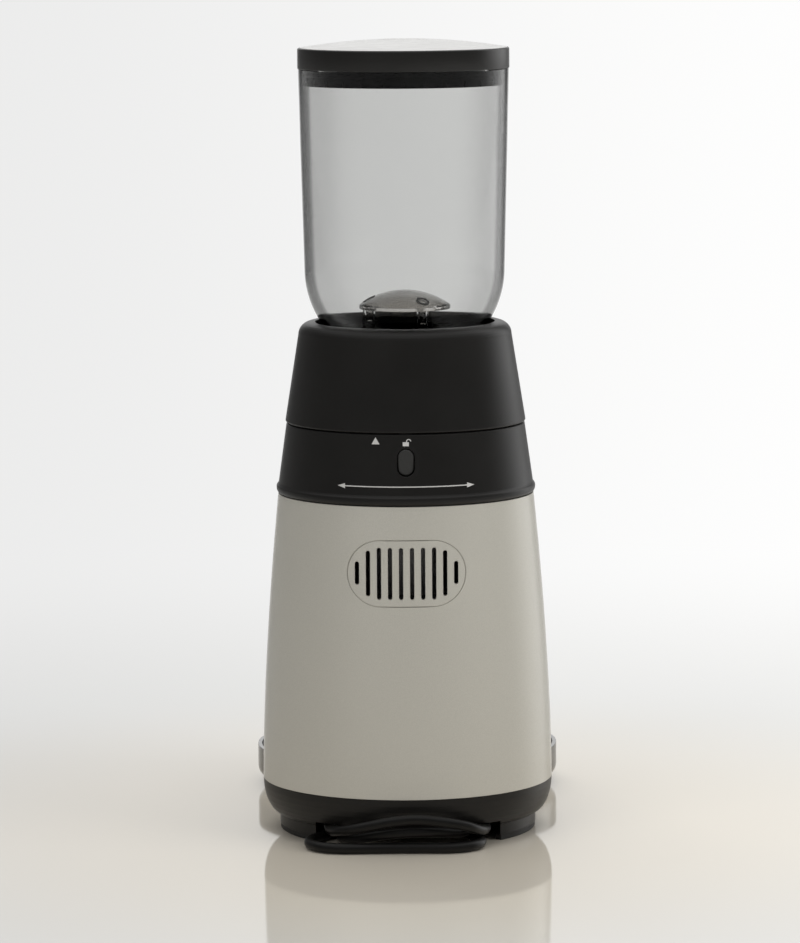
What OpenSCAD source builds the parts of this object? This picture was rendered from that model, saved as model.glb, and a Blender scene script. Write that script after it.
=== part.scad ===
// Electric burr grinder with a bean hopper, a turning grind collar, a geared motor,
// a front spout head, a grounds container and a catch dish.
// Millimetres. +Z is up, the front faces -Y, the origin is on the body's axis at the floor.

/* [Base] */
// Radius of the plinth that carries the feet
plinth_r = 62; // [60.5:0.5:63]
// Wall of the plinth
plinth_wall = 4; // [3:0.5:5]
// Height of the rubber feet
foot_h = 2.5; // [2:0.5:3]
// Height at which the base bowl starts to flare out
bowl_z = 8; // [7.5:0.5:9]
// Height of the cord cavity under the base floor
cavity_h = 20; // [19:0.5:20.5]
// Thickness of the base floor
pan_floor = 3; // [2:0.5:3.5]
// Width of the rear opening of the cord cavity
cord_gap_w = 88; // [84:1:90]
// Height of the rear opening of the cord cavity
cord_gap_h = 10.5; // [10.5:0.5:12]

/* [Body] */
// Largest radius of the body, at the foot of the shell
base_r = 70; // [69:0.5:71]
// Height of the foot of the shell above the floor
shell_z = 24.6; // [24:0.1:26]
// Height of the shell
shell_h = 138.4; // [138:0.2:140]
// How much narrower the shell is at its top
shell_taper = 8.4; // [8:0.1:8.8]
// Shape of the shell's side, 1 is a straight cone
shell_curve = 1.65; // [1.25:0.05:2]
// Wall of the shell
shell_wall = 2; // [1.6:0.2:2.4]

/* [Vent grille] */
// Width of the grille
vent_w = 56.2; // [54:0.2:60]
// Height of the grille
vent_h = 31.5; // [31:0.5:34]
// Height of the grille's middle above the floor
vent_mid = 131.7; // [128:0.1:135]
// Groove between the grille and the shell
vent_gap = 0.35; // [0.25:0.05:0.6]
// Number of slots
slot_count = 10; // [10]
// Distance from slot to slot
slot_pitch = 5.2; // [4.8:0.1:5.4]
// Width of a slot
slot_w = 2; // [1.6:0.1:2.4]
// Height of the middle slots
slot_tall = 24.5; // [22:0.5:25]
// Height of the slots next to the ends
slot_mid = 21.5; // [19:0.5:22]
// Height of the end slots
slot_short = 10.9; // [9:0.1:13]

/* [Upper housing] */
// Height of the black band
band_h = 33.9; // [33.5:0.1:35]
// Radius of the band's lower lip
band_lip_r = 62.4; // [62.2:0.1:63]
// Height at which the band's lower lip starts to draw in
band_lip_h = 3.2; // [3:0.1:4.5]
// Radius of the band at its top
band_top_r = 57.4; // [57.2:0.1:58]
// Wall of the band
band_wall = 2.5; // [2:0.1:2.7]

/* [Lock button] */
// Width of the release button
lock_w = 7.6; // [7:0.1:8]
// Height of the release button
lock_h = 12.4; // [11:0.1:13]
// Height of the button's middle above the band's foot
lock_mid = 20.8; // [20:0.1:21]
// Gap between the button and its hole
lock_gap = 0.45; // [0.3:0.05:0.6]

/* [Collar] */
// Gap between the band and the collar
collar_gap = 0.6; // [0.5:0.1:1]
// Height of the collar
collar_h = 48; // [46:0.5:50]
// Radius of the collar at its foot
collar_r = 57.8; // [57.5:0.1:58.5]
// Radius of the collar where its rounded shoulder starts
collar_top_r = 51.3; // [51:0.1:52.5]
// Radius of the rounded shoulder
shoulder_r = 6; // [4:0.5:6.5]
// Radius of the collar's mouth
mouth_r = 43.3; // [43:0.1:44]
// Wall of the collar
collar_wall = 2.5; // [2.2:0.1:2.6]
// Running clearance of the collar's skirt in its bearing ring
collar_fit = 0.08; // [0.05:0.01:0.1]

/* [Hopper] */
// Radius of the hopper at its rim
hopper_r = 50.5; // [50.2:0.1:50.7]
// Radius of the hopper where its bowl starts
hopper_low_r = 48.05; // [47.5:0.05:48.5]
// Height of the hopper
hopper_h = 161.8; // [150:0.2:175]
// Height of the bowl's start above the hopper's foot
bowl_start = 66; // [65:0.5:70]
// Bend radius of the bowl
bowl_bend = 47; // [45:0.5:49]
// Slope of the bowl's cone
bowl_angle = 50; // [48:1:52]
// Wall of the hopper
hopper_wall = 2; // [1.8:0.1:2.4]
// Radius of the hopper's throat
throat_r = 14; // [13:0.5:14.5]
// Outer radius of the hopper's foot
hopper_foot_r = 29.6; // [28.5:0.1:30.5]

/* [Bean guard] */
// Radius of the guard's brim
guard_r = 22; // [21.5:0.5:23]
// Height of the guard's dome
guard_dome = 7.2; // [6:0.2:8]
// Height of the guard's brim above the hopper's foot
guard_z = 46.7; // [44:0.1:48]
// Distance of the posts from the axis
post_pitch_r = 17.2; // [17:0.1:18.5]
// Diameter of a post
post_d = 6; // [5.5:0.1:6.5]

/* [Lid] */
// Radius of the lid's skirt
lid_r = 50.7; // [50.7:0.1:52]
// Height of the lid's skirt
lid_skirt_h = 9.9; // [9:0.1:12]
// Rise of the lid's domed plate
lid_dome = 4.1; // [3.5:0.1:5]
// Depth to which the plug enters the hopper
plug_depth = 7.8; // [7:0.2:9]
// Gap between the plug and the hopper
plug_gap = 0.5; // [0.45:0.05:0.7]
// Radius of the finger dimple on the lid
dimple_r = 12.5; // [10:0.5:15]

/* [Front head] */
// Half of the head's width
head_half_w = 40; // [38:0.5:41]
// How far the head reaches out in front of the body's foot
head_reach = 60; // [59:0.5:62]
// Height of the head's underside above the floor
head_z = 106; // [105:0.5:107]
// Height of the head
head_h = 84; // [83:0.5:85]
// Wall of the head
head_wall = 2.5; // [2:0.1:2.7]
// Radius of the timer knob
knob_r = 17; // [15:0.5:17.5]
// Depth of the timer knob
knob_depth = 16; // [14:0.5:18]
// Height of the timer knob's middle
knob_z = 162; // [161:0.5:163]
// Radius of the start button
start_r = 8; // [7:0.5:8.5]
// Height of the start button's middle
start_z = 127; // [126:0.5:128]

/* [Container] */
// Gap between the container and the body
cup_gap = 3; // [2.5:0.5:4]
// Outer radius of the container at its rim
cup_r = 42; // [40:0.5:42]
// Outer radius of the container at its foot
cup_foot_r = 38; // [36:0.5:39]
// Height of the container
cup_h = 67.3; // [60:0.1:68]
// Wall of the container
cup_wall = 2; // [1.6:0.1:2.4]

/* [Front dish] */
// Radius of the dish
dish_r = 75.8; // [74:0.1:78]
// Height of the dish's rim above the floor
dish_top = 20.5; // [19:0.1:21]
// Height of the dish's underside above the floor
dish_z = 4.5; // [4.3:0.1:4.8]
// Wall of the dish
dish_wall = 2; // [1.6:0.1:2.2]
// Rounding of the dish's lower edge
dish_round = 5; // [4:0.5:6]

/* [Drive] */
// Module of the gears
gear_mod = 0.8; // [0.8]
// Teeth of the motor pinion
pinion_teeth = 12; // [12]
// Teeth of the idler's large gear
idler_big_teeth = 48; // [48]
// Teeth of the idler's small gear
idler_small_teeth = 15; // [15]
// Teeth of the output gear
output_teeth = 45; // [45]
// Radius of the motor can
motor_r = 31; // [29:0.5:33]
// Height of the motor can
motor_h = 56; // [54:1:57]
// Radius of the motor shaft
motor_shaft_r = 2.5; // [2:0.1:3]
// Radius of the drive shaft
drive_shaft_r = 4; // [3.5:0.1:4.5]
// Running clearance of the shafts in their bearings
shaft_fit = 0.05; // [0.03:0.01:0.08]
// Height of the gearbox's underside above the floor
gearbox_z = 90; // [90:0.2:91]
// Outer radius of the gearbox
gearbox_r = 49; // [48:0.5:50]
// Distance of the chassis posts from the axis
chassis_r = 54; // [53:0.5:54.5]

/* [Grinding chamber] */
// Height of the chamber's floor above the floor
chamber_z = 146; // [145.5:0.1:146.4]
// Inner radius of the chamber
chamber_r = 44; // [43.5:0.1:44.2]
// Wall of the chamber
chamber_wall = 3; // [2.4:0.1:3]
// Radius of the cone burr at its foot
cone_r = 18.2; // [17:0.1:19]
// Height of the cone burr
cone_h = 20; // [19:0.5:21]
// Gap between the burrs at the middle setting
burr_gap = 0.9; // [0.8:0.1:1.2]
// Outer radius of the ring burr
ring_burr_r = 26; // [25:0.5:27]

/* [Cord] */
// Diameter of the mains cord
cord_d = 5; // [4.6:0.1:5.2]

/* [Hidden] */
$fn = 96;
eps = 0.02;

// Colours
black_plastic = [0.13, 0.13, 0.12];
soft_black = [0.08, 0.08, 0.08];
silver_paint = [0.66, 0.65, 0.6];
steel = [0.72, 0.72, 0.7];
smoke_clear = [0.55, 0.55, 0.56, 0.45];
brass = [0.78, 0.62, 0.3];

// Places of the head's front and of the container's middle, in front of the axis
head_front = base_r + head_reach;
cup_y = base_r + cup_gap + cup_r;

// Heights of the stack, from the floor up
shell_top = shell_z + shell_h;
band_top = shell_top + band_h;
collar_z = band_top + collar_gap;
collar_top = collar_z + collar_h;
collar_floor = 3;
collar_floor_z = collar_z + 4.5;
hopper_z = collar_floor_z + collar_floor;
hopper_top = hopper_z + hopper_h;
lid_top = hopper_top + lid_skirt_h;
pan_top = cavity_h + pan_floor;

// Radius of the body's outer face at a height
function body_r(z) = base_r - shell_taper * pow(max(0, z - shell_z) / shell_h, shell_curve);

// Radius of the band's outer face at a height above its lip
band_shoulder = 2.2;
lip_proud = 1.1;
band_low_r = band_lip_r - lip_proud;
function band_r(z) =
  band_low_r - (band_low_r - band_top_r) * (z - shell_top - band_lip_h - band_shoulder)
    / (band_h - band_lip_h - band_shoulder);

// Points of a wall that follows the body's side, between two insets and two heights
wall_steps = 12;
function wall_section(outer_inset, inner_inset, low, high) = concat(
  [for (i = [0:wall_steps]) let (z = low + (high - low) * i / wall_steps)
    [body_r(z) - outer_inset, z]],
  [for (i = [wall_steps:-1:0]) let (z = low + (high - low) * i / wall_steps)
    [body_r(z) - inner_inset, z]]
);

// Points of a circular arc, from one angle to another
function arc(cx, cy, r, from, to, steps) =
  [for (i = [0:steps]) let (a = from + (to - from) * i / steps) [cx + r * cos(a), cy + r * sin(a)]];

function reversed(list) = [for (i = [len(list) - 1:-1:0]) list[i]];

// ---------------------------------------------------------------- helpers

module ring(outer, inner, h) {
  difference() {
    cylinder(r = outer, h = h);
    translate([0, 0, -eps]) cylinder(r = inner, h = h + 2 * eps);
  }
}

// Turns a shape drawn upwards so that it points along +Y
module along_y() {
  rotate([-90, 0, 0]) children();
}

module stadium(w, h) {
  if (w > h) {
    square([w - h, h], center = true);
    for (side = [-1, 1]) translate([side * (w - h) / 2, 0]) circle(d = h);
  } else {
    square([w, h - w], center = true);
    for (side = [-1, 1]) translate([0, side * (h - w) / 2]) circle(d = w);
  }
}

module rounded_rect(w, d, r) {
  square([w - 2 * r, d], center = true);
  square([w, d - 2 * r], center = true);
  for (sx = [-1, 1], sy = [-1, 1])
    translate([sx * (w / 2 - r), sy * (d / 2 - r)]) circle(r = r);
}

// Sector of a ring between two angles
module ring_sector(outer, inner, h, from, to) {
  rotate([0, 0, from])
    rotate_extrude(angle = to - from)
      translate([inner, 0]) square([outer - inner, h]);
}

// A pan-head screw that points down, its head's underside at z = 0
module screw(head_r, head_h, shank_r, shank_l) {
  difference() {
    cylinder(r = head_r, h = head_h);
    for (a = [0, 90]) rotate([0, 0, a])
      translate([-head_r * 0.55, -0.35, head_h * 0.5]) cube([head_r * 1.1, 0.7, head_h]);
  }
  translate([0, 0, -shank_l]) cylinder(r = shank_r, h = shank_l + eps);
}

// A tube swept along points whose way is never upright
function unit(v) = v / norm(v);
function way(p, i) = unit(p[min(i + 1, len(p) - 1)] - p[max(i - 1, 0)]);
module sweep(p, r, sides) {
  rings = [for (i = [0:len(p) - 1])
    let (t = way(p, i), side = unit(cross(t, [0, 0, 1])), up = cross(side, t))
    for (k = [0:sides - 1]) let (a = 360 * k / sides)
      p[i] + r * (cos(a) * side + sin(a) * up)];
  last = (len(p) - 1) * sides;
  skin = [for (i = [0:len(p) - 2], k = [0:sides - 1]) let (next = (k + 1) % sides)
    each [[i * sides + k, (i + 1) * sides + k, (i + 1) * sides + next],
          [i * sides + k, (i + 1) * sides + next, i * sides + next]]];
  caps = [[for (k = [0:sides - 1]) k], [for (k = [sides - 1:-1:0]) last + k]];
  polyhedron(points = rings, faces = concat(skin, caps), convexity = 8);
}

// A wire spring that stands on z = 0
module coil_spring(r, wire_r, h, turns) {
  steps = 12 * turns;
  sweep([for (i = [0:steps]) let (a = 360 * turns * i / steps)
    [r * cos(a), r * sin(a), wire_r + (h - 2 * wire_r) * i / steps]], wire_r, 8);
}

// ---------------------------------------------------------------- base

seat_gap = 0.4;
pan_lip_r = base_r - shell_wall - seat_gap;
pan_lip_h = 4;
pan_lip_wall = 2;
cavity_r = plinth_r - plinth_wall;
tongue_w = 36;
tongue_reach = 6;
tongue_gap = 0.6;
relief_x = -36;
relief_z = 14;
relief_y = -12;
relief_l = 22;
relief_r = 4;
relief_boss_l = 12;
relief_boss_w = 14;
relief_boss_wall = 1.2;
relief_tip_wall = 0.7;
relief_groove_pitch = 4.2;
relief_groove_w = 1.4;
relief_groove_floor = 0.5;
slot_clear = 2;
foot_inset = 0.3;
chassis_angles = [30, 150, 270];
base_screw_r = 1.6;
base_screw_head_r = 3;
base_screw_head_h = 2.2;
base_screw_bite = 12;
screw_hole_gap = 0.2;

module at_chassis_posts() {
  for (a = chassis_angles) rotate([0, 0, a]) translate([chassis_r, 0, 0]) children();
}

module base_pan() {
  color(black_plastic)
  difference() {
    union() {
      rotate_extrude() polygon(concat(
        [[cavity_r, foot_h], [plinth_r, foot_h]],
        [for (i = [0:8]) let (t = 90 * i / 8)
          [plinth_r + (base_r - plinth_r) * sin(t), shell_z - (shell_z - bowl_z) * cos(t)]],
        [[pan_lip_r, shell_z], [pan_lip_r, shell_z + pan_lip_h],
         [pan_lip_r - pan_lip_wall, shell_z + pan_lip_h], [pan_lip_r - pan_lip_wall, pan_top],
         [0, pan_top], [0, cavity_h], [cavity_r, cavity_h]]
      ));
      // Boss of the strain relief, under the floor
      translate([relief_x - relief_boss_w / 2, relief_y - relief_boss_l,
        relief_z - relief_r - relief_boss_wall])
        cube([relief_boss_w, relief_boss_l,
              cavity_h - relief_z + relief_r + relief_boss_wall + eps]);
    }
    // Rear opening for the cord
    translate([-cord_gap_w / 2, 0, foot_h - 1])
      cube([cord_gap_w, plinth_r + 1, cord_gap_h - foot_h + 1]);
    // Front slot for the dish's tongue
    translate([-tongue_w / 2 - tongue_gap, -plinth_r - 1, dish_z - tongue_gap])
      cube([tongue_w + 2 * tongue_gap, plinth_wall + 2 * slot_clear + 2,
            dish_wall + 2 * tongue_gap]);
    // Holes of the base screws
    at_chassis_posts() translate([0, 0, cavity_h - 1])
      cylinder(r = base_screw_r + screw_hole_gap, h = pan_floor + 2);
    // Way of the cord into the body
    translate([relief_x, relief_y - relief_boss_l - eps, relief_z])
      along_y() cylinder(r = relief_r, h = relief_boss_l + 2 * eps);
  }
}

module rubber_feet() {
  color(soft_black)
  for (span = [[-12, 44], [136, 192], [205, 240], [300, 335]])
    ring_sector(plinth_r - foot_inset, cavity_r + foot_inset, foot_h, span[0], span[1]);
}

module base_screws() {
  color(steel)
  at_chassis_posts() translate([0, 0, cavity_h]) mirror([0, 0, 1])
    screw(base_screw_head_r, base_screw_head_h, base_screw_r, pan_floor + base_screw_bite);
}

// ---------------------------------------------------------------- mains cord

cord_r = cord_d / 2;
// The lead leaves the relief, makes three loose turns, half of them behind the base, and
// ends at the plug in the cavity.
cord_route = [
  [-36, 10, 14], [-36, 22, 13], [-36.5, 34, 10.5], [-37, 44, 7.7], [-36.5, 54, 7.6],
  [-33.3, 64, 9.3], [-26.5, 71.5, 12.5], [-16.5, 75.2, 15], [-4, 76.5, 16.5], [8, 76.5, 15.5],
  [19, 74.5, 13], [28, 70, 10.5], [34, 63, 8.8], [37, 53.5, 7.7], [37.5, 43, 7.7],
  [36.5, 32, 8], [33, 20, 8], [27, 9, 8], [18, 1, 8], [7, -4, 8], [-5, -4, 8],
  [-16, 1, 8], [-25, 10, 8], [-29.5, 21, 7.8], [-31, 33, 7.8], [-30.8, 45, 7.8],
  [-28.7, 56, 7.7], [-22.5, 65.3, 8], [-13, 71, 9.4], [1, 73, 9.6], [14, 71, 8],
  [23.5, 65.5, 5.6], [29.8, 57, 3.6], [31.2, 46.5, 2.8], [30.6, 36, 2.7], [27.5, 25.5, 2.7],
  [21.5, 16, 2.7], [12, 9.2, 2.7], [0, 6.5, 2.7], [-12, 9.2, 2.7], [-21, 17, 2.7],
  [-25.5, 26.5, 2.7], [-28.5, 36, 2.6], [-31.4, 45.6, 2.6], [-34, 54.3, 2.6],
  [-34.5, 61.3, 2.6], [-31.8, 67.9, 2.6], [-26.4, 72.6, 2.6], [-19.4, 74.7, 2.6],
  [-9, 74.5, 2.6], [3, 74.2, 2.6], [14, 74.6, 2.6], [23, 75, 2.6], [31, 74.8, 2.6],
  [38.8, 72.5, 2.6], [44.7, 66.7, 2.6], [46.9, 59.8, 2.6], [46.4, 54.1, 2.6],
  [44.5, 49.9, 2.6], [41.2, 44.6, 2.6], [38.3, 38.6, 2.6],
  [36.3, 29.5, 2.6], [37, 19.5, 2.6], [39.5, 8, 3], [39, -4, 4],
  [36.5, -15, 5], [30, -25.5, 5.7], [20.5, -32.7, 6], [9.5, -35, 6]
];
plug_at = cord_route[len(cord_route) - 1];

module strain_relief() {
  color(soft_black)
  translate([relief_x, 0, relief_z])
  difference() {
    translate([0, relief_y - relief_boss_l, 0]) along_y() union() {
      cylinder(r = relief_r, h = relief_boss_l);
      translate([0, 0, relief_boss_l])
        cylinder(r1 = relief_r, r2 = cord_r + relief_tip_wall, h = relief_l);
    }
    for (i = [0:3]) translate([0, relief_y + relief_r + relief_groove_pitch * i, 0]) along_y()
      ring(relief_r + 1, cord_r + relief_groove_floor, relief_groove_w);
  }
}

module power_cord() {
  color(soft_black) sweep(cord_route, cord_r, 10);
}

plug_neck_r = 4.4;
plug_neck_l = 10;
plug_l = 19;
plug_w = 21;
plug_t = 11.5;
plug_corner = 4;
blade_w = 6.2;
blade_t = 1.5;
blade_l = 16;
blade_pitch = 12.7;

module power_plug() {
  color(soft_black)
  translate(plug_at) rotate([0, -90, 0]) union() {
    cylinder(r1 = cord_r + relief_tip_wall, r2 = plug_neck_r, h = plug_neck_l);
    translate([0, 0, plug_neck_l - 1]) linear_extrude(plug_l)
      rounded_rect(plug_t, plug_w, plug_corner);
    for (side = [-1, 1]) translate([-blade_w / 2, (side * blade_pitch - blade_t) / 2,
      plug_neck_l - 1 + plug_l - eps]) cube([blade_w, blade_t, blade_l]);
  }
}

// ---------------------------------------------------------------- body shell

window_w = 29;
window_low = 137;
window_high = 157.5;
head_screw_x = 33.5;
head_screw_heights = [118, 152];
head_screw_hole_r = 1.7;

module body_shell() {
  color(silver_paint)
  difference() {
    rotate_extrude() polygon(wall_section(0, shell_wall, shell_z, shell_top));
    translate([0, 0, vent_mid]) along_y() linear_extrude(base_r + 5) stadium(vent_w, vent_h);
    translate([-window_w / 2, -base_r - 5, window_low])
      cube([window_w, base_r, window_high - window_low]);
    for (z = head_screw_heights, side = [-1, 1])
      translate([side * head_screw_x, -base_r - 5, z]) along_y()
        cylinder(r = head_screw_hole_r, h = base_r);
  }
}

vent_flange = 2.5;
vent_flange_t = 1.5;
vent_back_low = shell_z + 60;
vent_flange_top = shell_top - 5.5;

function slot_height(i) =
  let (from_end = min(i, slot_count - 1 - i))
  from_end == 0 ? slot_short : from_end == 1 ? slot_mid : slot_tall;

module vent_grille() {
  color(silver_paint)
  difference() {
    union() {
      intersection() {
        rotate_extrude() polygon(wall_section(0, shell_wall + 0.1, vent_back_low, shell_top));
        translate([0, 0, vent_mid]) along_y() linear_extrude(base_r + 5)
          stadium(vent_w - 2 * vent_gap, vent_h - 2 * vent_gap);
      }
      intersection() {
        rotate_extrude() polygon(
          wall_section(shell_wall + 0.05, shell_wall + vent_flange_t, vent_back_low,
            vent_flange_top));
        translate([0, 0, vent_mid]) along_y() linear_extrude(base_r + 5)
          stadium(vent_w + 2 * vent_flange, vent_h + 2 * vent_flange);
      }
    }
    for (i = [0:slot_count - 1])
      translate([(i - (slot_count - 1) / 2) * slot_pitch, 0, vent_mid])
        along_y() linear_extrude(base_r + 5) stadium(slot_w, slot_height(i));
  }
}

// ---------------------------------------------------------------- upper housing

band_deck = 3;
// Roundings of the lip, under and over its widest place
lip_under = 2.5;
lip_over = 1.8;
band_edge = 0.4;
lip_drop = 5;
lip_wall = 2.5;
chamber_out_r = chamber_r + chamber_wall;
skirt_r = 50;
skirt_wall = 2;
skirt_drop = 12;
bearing_ring_r = 52;
top_deck_z = collar_floor_z - skirt_drop - 1;
bearing_ring_h = 10;
lock_z = shell_top + lock_mid;
lock_flange_w = 11;
lock_flange_h = 16;
flange_back_y = 52.9;
flange_t = 1.5;
flange_r = 54;
lock_room = 0.7;
lock_inset = 0.7;
latch_w = 6;
latch_rise = 3;
band_pin_hole_r = 1.5;
deck_t = 2;

lip_r = body_r(shell_top) - shell_wall - seat_gap;
deck_r = max(band_low_r - 1, lip_r);

module upper_housing() {
  color(black_plastic)
  difference() {
    union() {
      rotate_extrude() polygon(concat(
        arc(band_lip_r - lip_under, shell_top + lip_under, lip_under, -90, 0, 6),
        arc(band_lip_r - lip_over, shell_top + band_lip_h, lip_over, 0, 50, 4),
        [[band_low_r, shell_top + band_lip_h + band_shoulder],
         [band_top_r, band_top - band_edge], [band_top_r - band_edge, band_top],
         [band_top_r - band_wall, band_top],
         [band_low_r - band_wall, shell_top + band_lip_h + band_shoulder],
         [band_low_r - band_wall, shell_top]]
      ));
      // Lower deck that carries the chamber's flange
      translate([0, 0, shell_top]) ring(deck_r, chamber_out_r + 0.3, band_deck);
      // Lip that centres the band in the shell
      translate([0, 0, shell_top - lip_drop])
        ring(lip_r, lip_r - lip_wall, lip_drop + eps);
      // Upper deck and the ring in which the collar turns
      translate([0, 0, top_deck_z]) ring(band_r(top_deck_z) - 1, skirt_r + collar_fit, deck_t);
      translate([0, 0, top_deck_z]) ring(bearing_ring_r, skirt_r + collar_fit, bearing_ring_h);
    }
    // Hole of the release button
    translate([0, 0, lock_z]) along_y() linear_extrude(base_r)
      stadium(lock_w + 2 * lock_gap, lock_h + 2 * lock_gap);
    // Room for the button's flange and its latch
    translate([-lock_flange_w / 2 - lock_room, skirt_r - 5, lock_z - lock_flange_h / 2 - 1])
      cube([lock_flange_w + 2 * lock_room, flange_back_y + flange_t + lock_room - skirt_r + 5,
            bearing_ring_h + lock_flange_h]);
    // Screw holes of the chamber
    at_chamber_screws() translate([0, 0, shell_top - 1])
      cylinder(r = band_pin_hole_r, h = band_deck + 2);
  }
}

module lock_button() {
  face_y = band_r(lock_z) - lock_inset;
  color([0.27, 0.27, 0.26])
  union() {
    translate([0, flange_back_y, lock_z]) along_y() {
      linear_extrude(flange_t) stadium(lock_flange_w, lock_flange_h);
      linear_extrude(face_y - flange_back_y) stadium(lock_w, lock_h);
    }
    // Latch that stops the collar at the ends of its range
    translate([-latch_w / 2, flange_back_y, lock_z])
      cube([latch_w, flange_t, collar_z + latch_rise - lock_z]);
  }
}

spring_seat_y = 49.2;
lock_spring_r = 2.4;
lock_wire_r = 0.3;
lock_turns = 4;

module lock_spring() {
  color(steel)
  translate([0, spring_seat_y + 0.05, lock_z]) along_y()
    coil_spring(lock_spring_r, lock_wire_r, flange_back_y - spring_seat_y - 0.1, lock_turns);
}

// ---------------------------------------------------------------- chassis and motor

gearbox_floor = 3;
gearbox_wall = 2.6;
gearbox_half_h = 14;
gearbox_split = gearbox_z + gearbox_half_h;
gearbox_top = gearbox_split + gearbox_half_h;
motor_z = gearbox_z - motor_h;
can_wall = 2.5;
magnet_span = 140;
magnet_past_core = 1;
brush_inset = 1.2;
core_lift = 12;
cap_h = 8;
magnet_t = 4;
bush_r = 6;
bush_h = 6;
bush_wall = 2;
air_gap = 0.7;
core_r = motor_r - can_wall - magnet_t - air_gap;
core_z = motor_z + core_lift;
core_h = 34;
cap_wall = 3;
end_t = 2;
chassis_post_r = 5;
chassis_bite = 14;
can_vent_r = 3;
cap_vent_r = 4;
brush_w = 6;
brush_h = 5;
brush_gap = 0.3;
rotor_slot_w = 2.4;
rotor_slot_d = 8;
fan_hub_r = 8;
fan_blade_t = 1.4;
fan_disc_t = 1.5;
fan_gap = 2;
commutator_r = 9;
shaft_low = pan_top + 1.5;
shaft_high = gearbox_split - 0.5;

module chassis_posts() {
  color([0.6, 0.6, 0.58])
  at_chassis_posts() translate([0, 0, pan_top]) difference() {
    cylinder(r = chassis_post_r, h = gearbox_z - pan_top);
    translate([0, 0, -eps]) cylinder(r = base_screw_r, h = chassis_bite);
    translate([0, 0, gearbox_z - pan_top - chassis_bite])
      cylinder(r = base_screw_r, h = chassis_bite + eps);
  }
}

module motor_can() {
  color(steel)
  difference() {
    union() {
      translate([0, 0, motor_z + cap_h]) ring(motor_r, motor_r - can_wall, motor_h - cap_h);
      translate([0, 0, gearbox_z - end_t]) cylinder(r = motor_r, h = end_t);
      translate([0, 0, gearbox_z - bush_h]) cylinder(r = bush_r + bush_wall, h = bush_h);
    }
    translate([0, 0, gearbox_z - bush_h - 1]) cylinder(r = bush_r, h = bush_h + 2);
    for (a = [45:90:315]) rotate([0, 0, a])
      translate([motor_r - 2 * cap_wall - end_t, 0, gearbox_z - 2 * end_t])
        cylinder(r = can_vent_r, h = 3 * end_t);
  }
}

module motor_end_cap() {
  color(black_plastic)
  difference() {
    union() {
      translate([0, 0, motor_z]) ring(motor_r, motor_r - cap_wall, cap_h);
      translate([0, 0, motor_z]) cylinder(r = motor_r, h = end_t);
      translate([0, 0, motor_z]) cylinder(r = bush_r + bush_wall, h = bush_h);
    }
    translate([0, 0, motor_z - 1]) cylinder(r = bush_r, h = bush_h + 2);
    for (a = [30:60:330]) rotate([0, 0, a])
      translate([motor_r - 2 * cap_vent_r - cap_wall, 0, motor_z - 1])
        cylinder(r = cap_vent_r, h = 2 * end_t);
  }
}

module motor_magnets() {
  color([0.25, 0.25, 0.27])
  for (a = [90, 270]) translate([0, 0, core_z - magnet_past_core])
    ring_sector(motor_r - can_wall, motor_r - can_wall - magnet_t,
      core_h + 2 * magnet_past_core, a - magnet_span / 2, a + magnet_span / 2);
}

module motor_bushes() {
  color(brass)
  for (z = [motor_z, gearbox_z - bush_h]) translate([0, 0, z])
    ring(bush_r, motor_shaft_r + shaft_fit, bush_h);
}

module motor_brushes() {
  color([0.3, 0.28, 0.26])
  for (a = [0, 180]) rotate([0, 0, a])
    translate([commutator_r + brush_gap, -brush_w / 2, motor_z + bush_h + end_t - brush_inset])
      cube([motor_r - cap_wall - commutator_r - brush_gap, brush_w, brush_h]);
}

module motor_rotor() {
  slots = 12;
  color([0.5, 0.42, 0.32])
  difference() {
    union() {
      translate([0, 0, core_z]) cylinder(r = core_r, h = core_h);
      translate([0, 0, motor_z + bush_h + air_gap]) cylinder(r = commutator_r,
        h = core_z - motor_z - bush_h - air_gap);
    }
    for (i = [0:slots - 1]) rotate([0, 0, 360 / slots * i])
      translate([core_r - rotor_slot_d, -rotor_slot_w / 2, core_z - 1])
        cube([rotor_slot_d + 1, rotor_slot_w, core_h + 2]);
    translate([0, 0, motor_z]) cylinder(r = motor_shaft_r, h = motor_h);
  }
}

module motor_shaft() {
  color(steel)
  translate([0, 0, shaft_low]) cylinder(r = motor_shaft_r, h = shaft_high - shaft_low);
}

module cooling_fan() {
  fan_h = motor_z - pan_top - 2 * fan_gap;
  color([0.2, 0.2, 0.2])
  translate([0, 0, pan_top + fan_gap]) difference() {
    union() {
      cylinder(r = fan_hub_r, h = fan_h);
      cylinder(r = motor_r - 2 * fan_gap, h = fan_disc_t);
      for (a = [0:40:320]) rotate([0, 0, a]) translate([fan_hub_r - 1, -fan_blade_t / 2, 0])
        cube([motor_r - 2 * fan_gap - fan_hub_r, fan_blade_t, fan_h]);
    }
    translate([0, 0, -1]) cylinder(r = motor_shaft_r, h = fan_h + 2);
  }
}

// ---------------------------------------------------------------- gears

pressure = 25;
backlash = 0.08;
gear_distance = gear_mod * (pinion_teeth + idler_big_teeth) / 2;

function involute(a) = tan(a) * 180 / PI - a;
function polar(r, a) = [r * cos(a), r * sin(a)];

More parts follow.
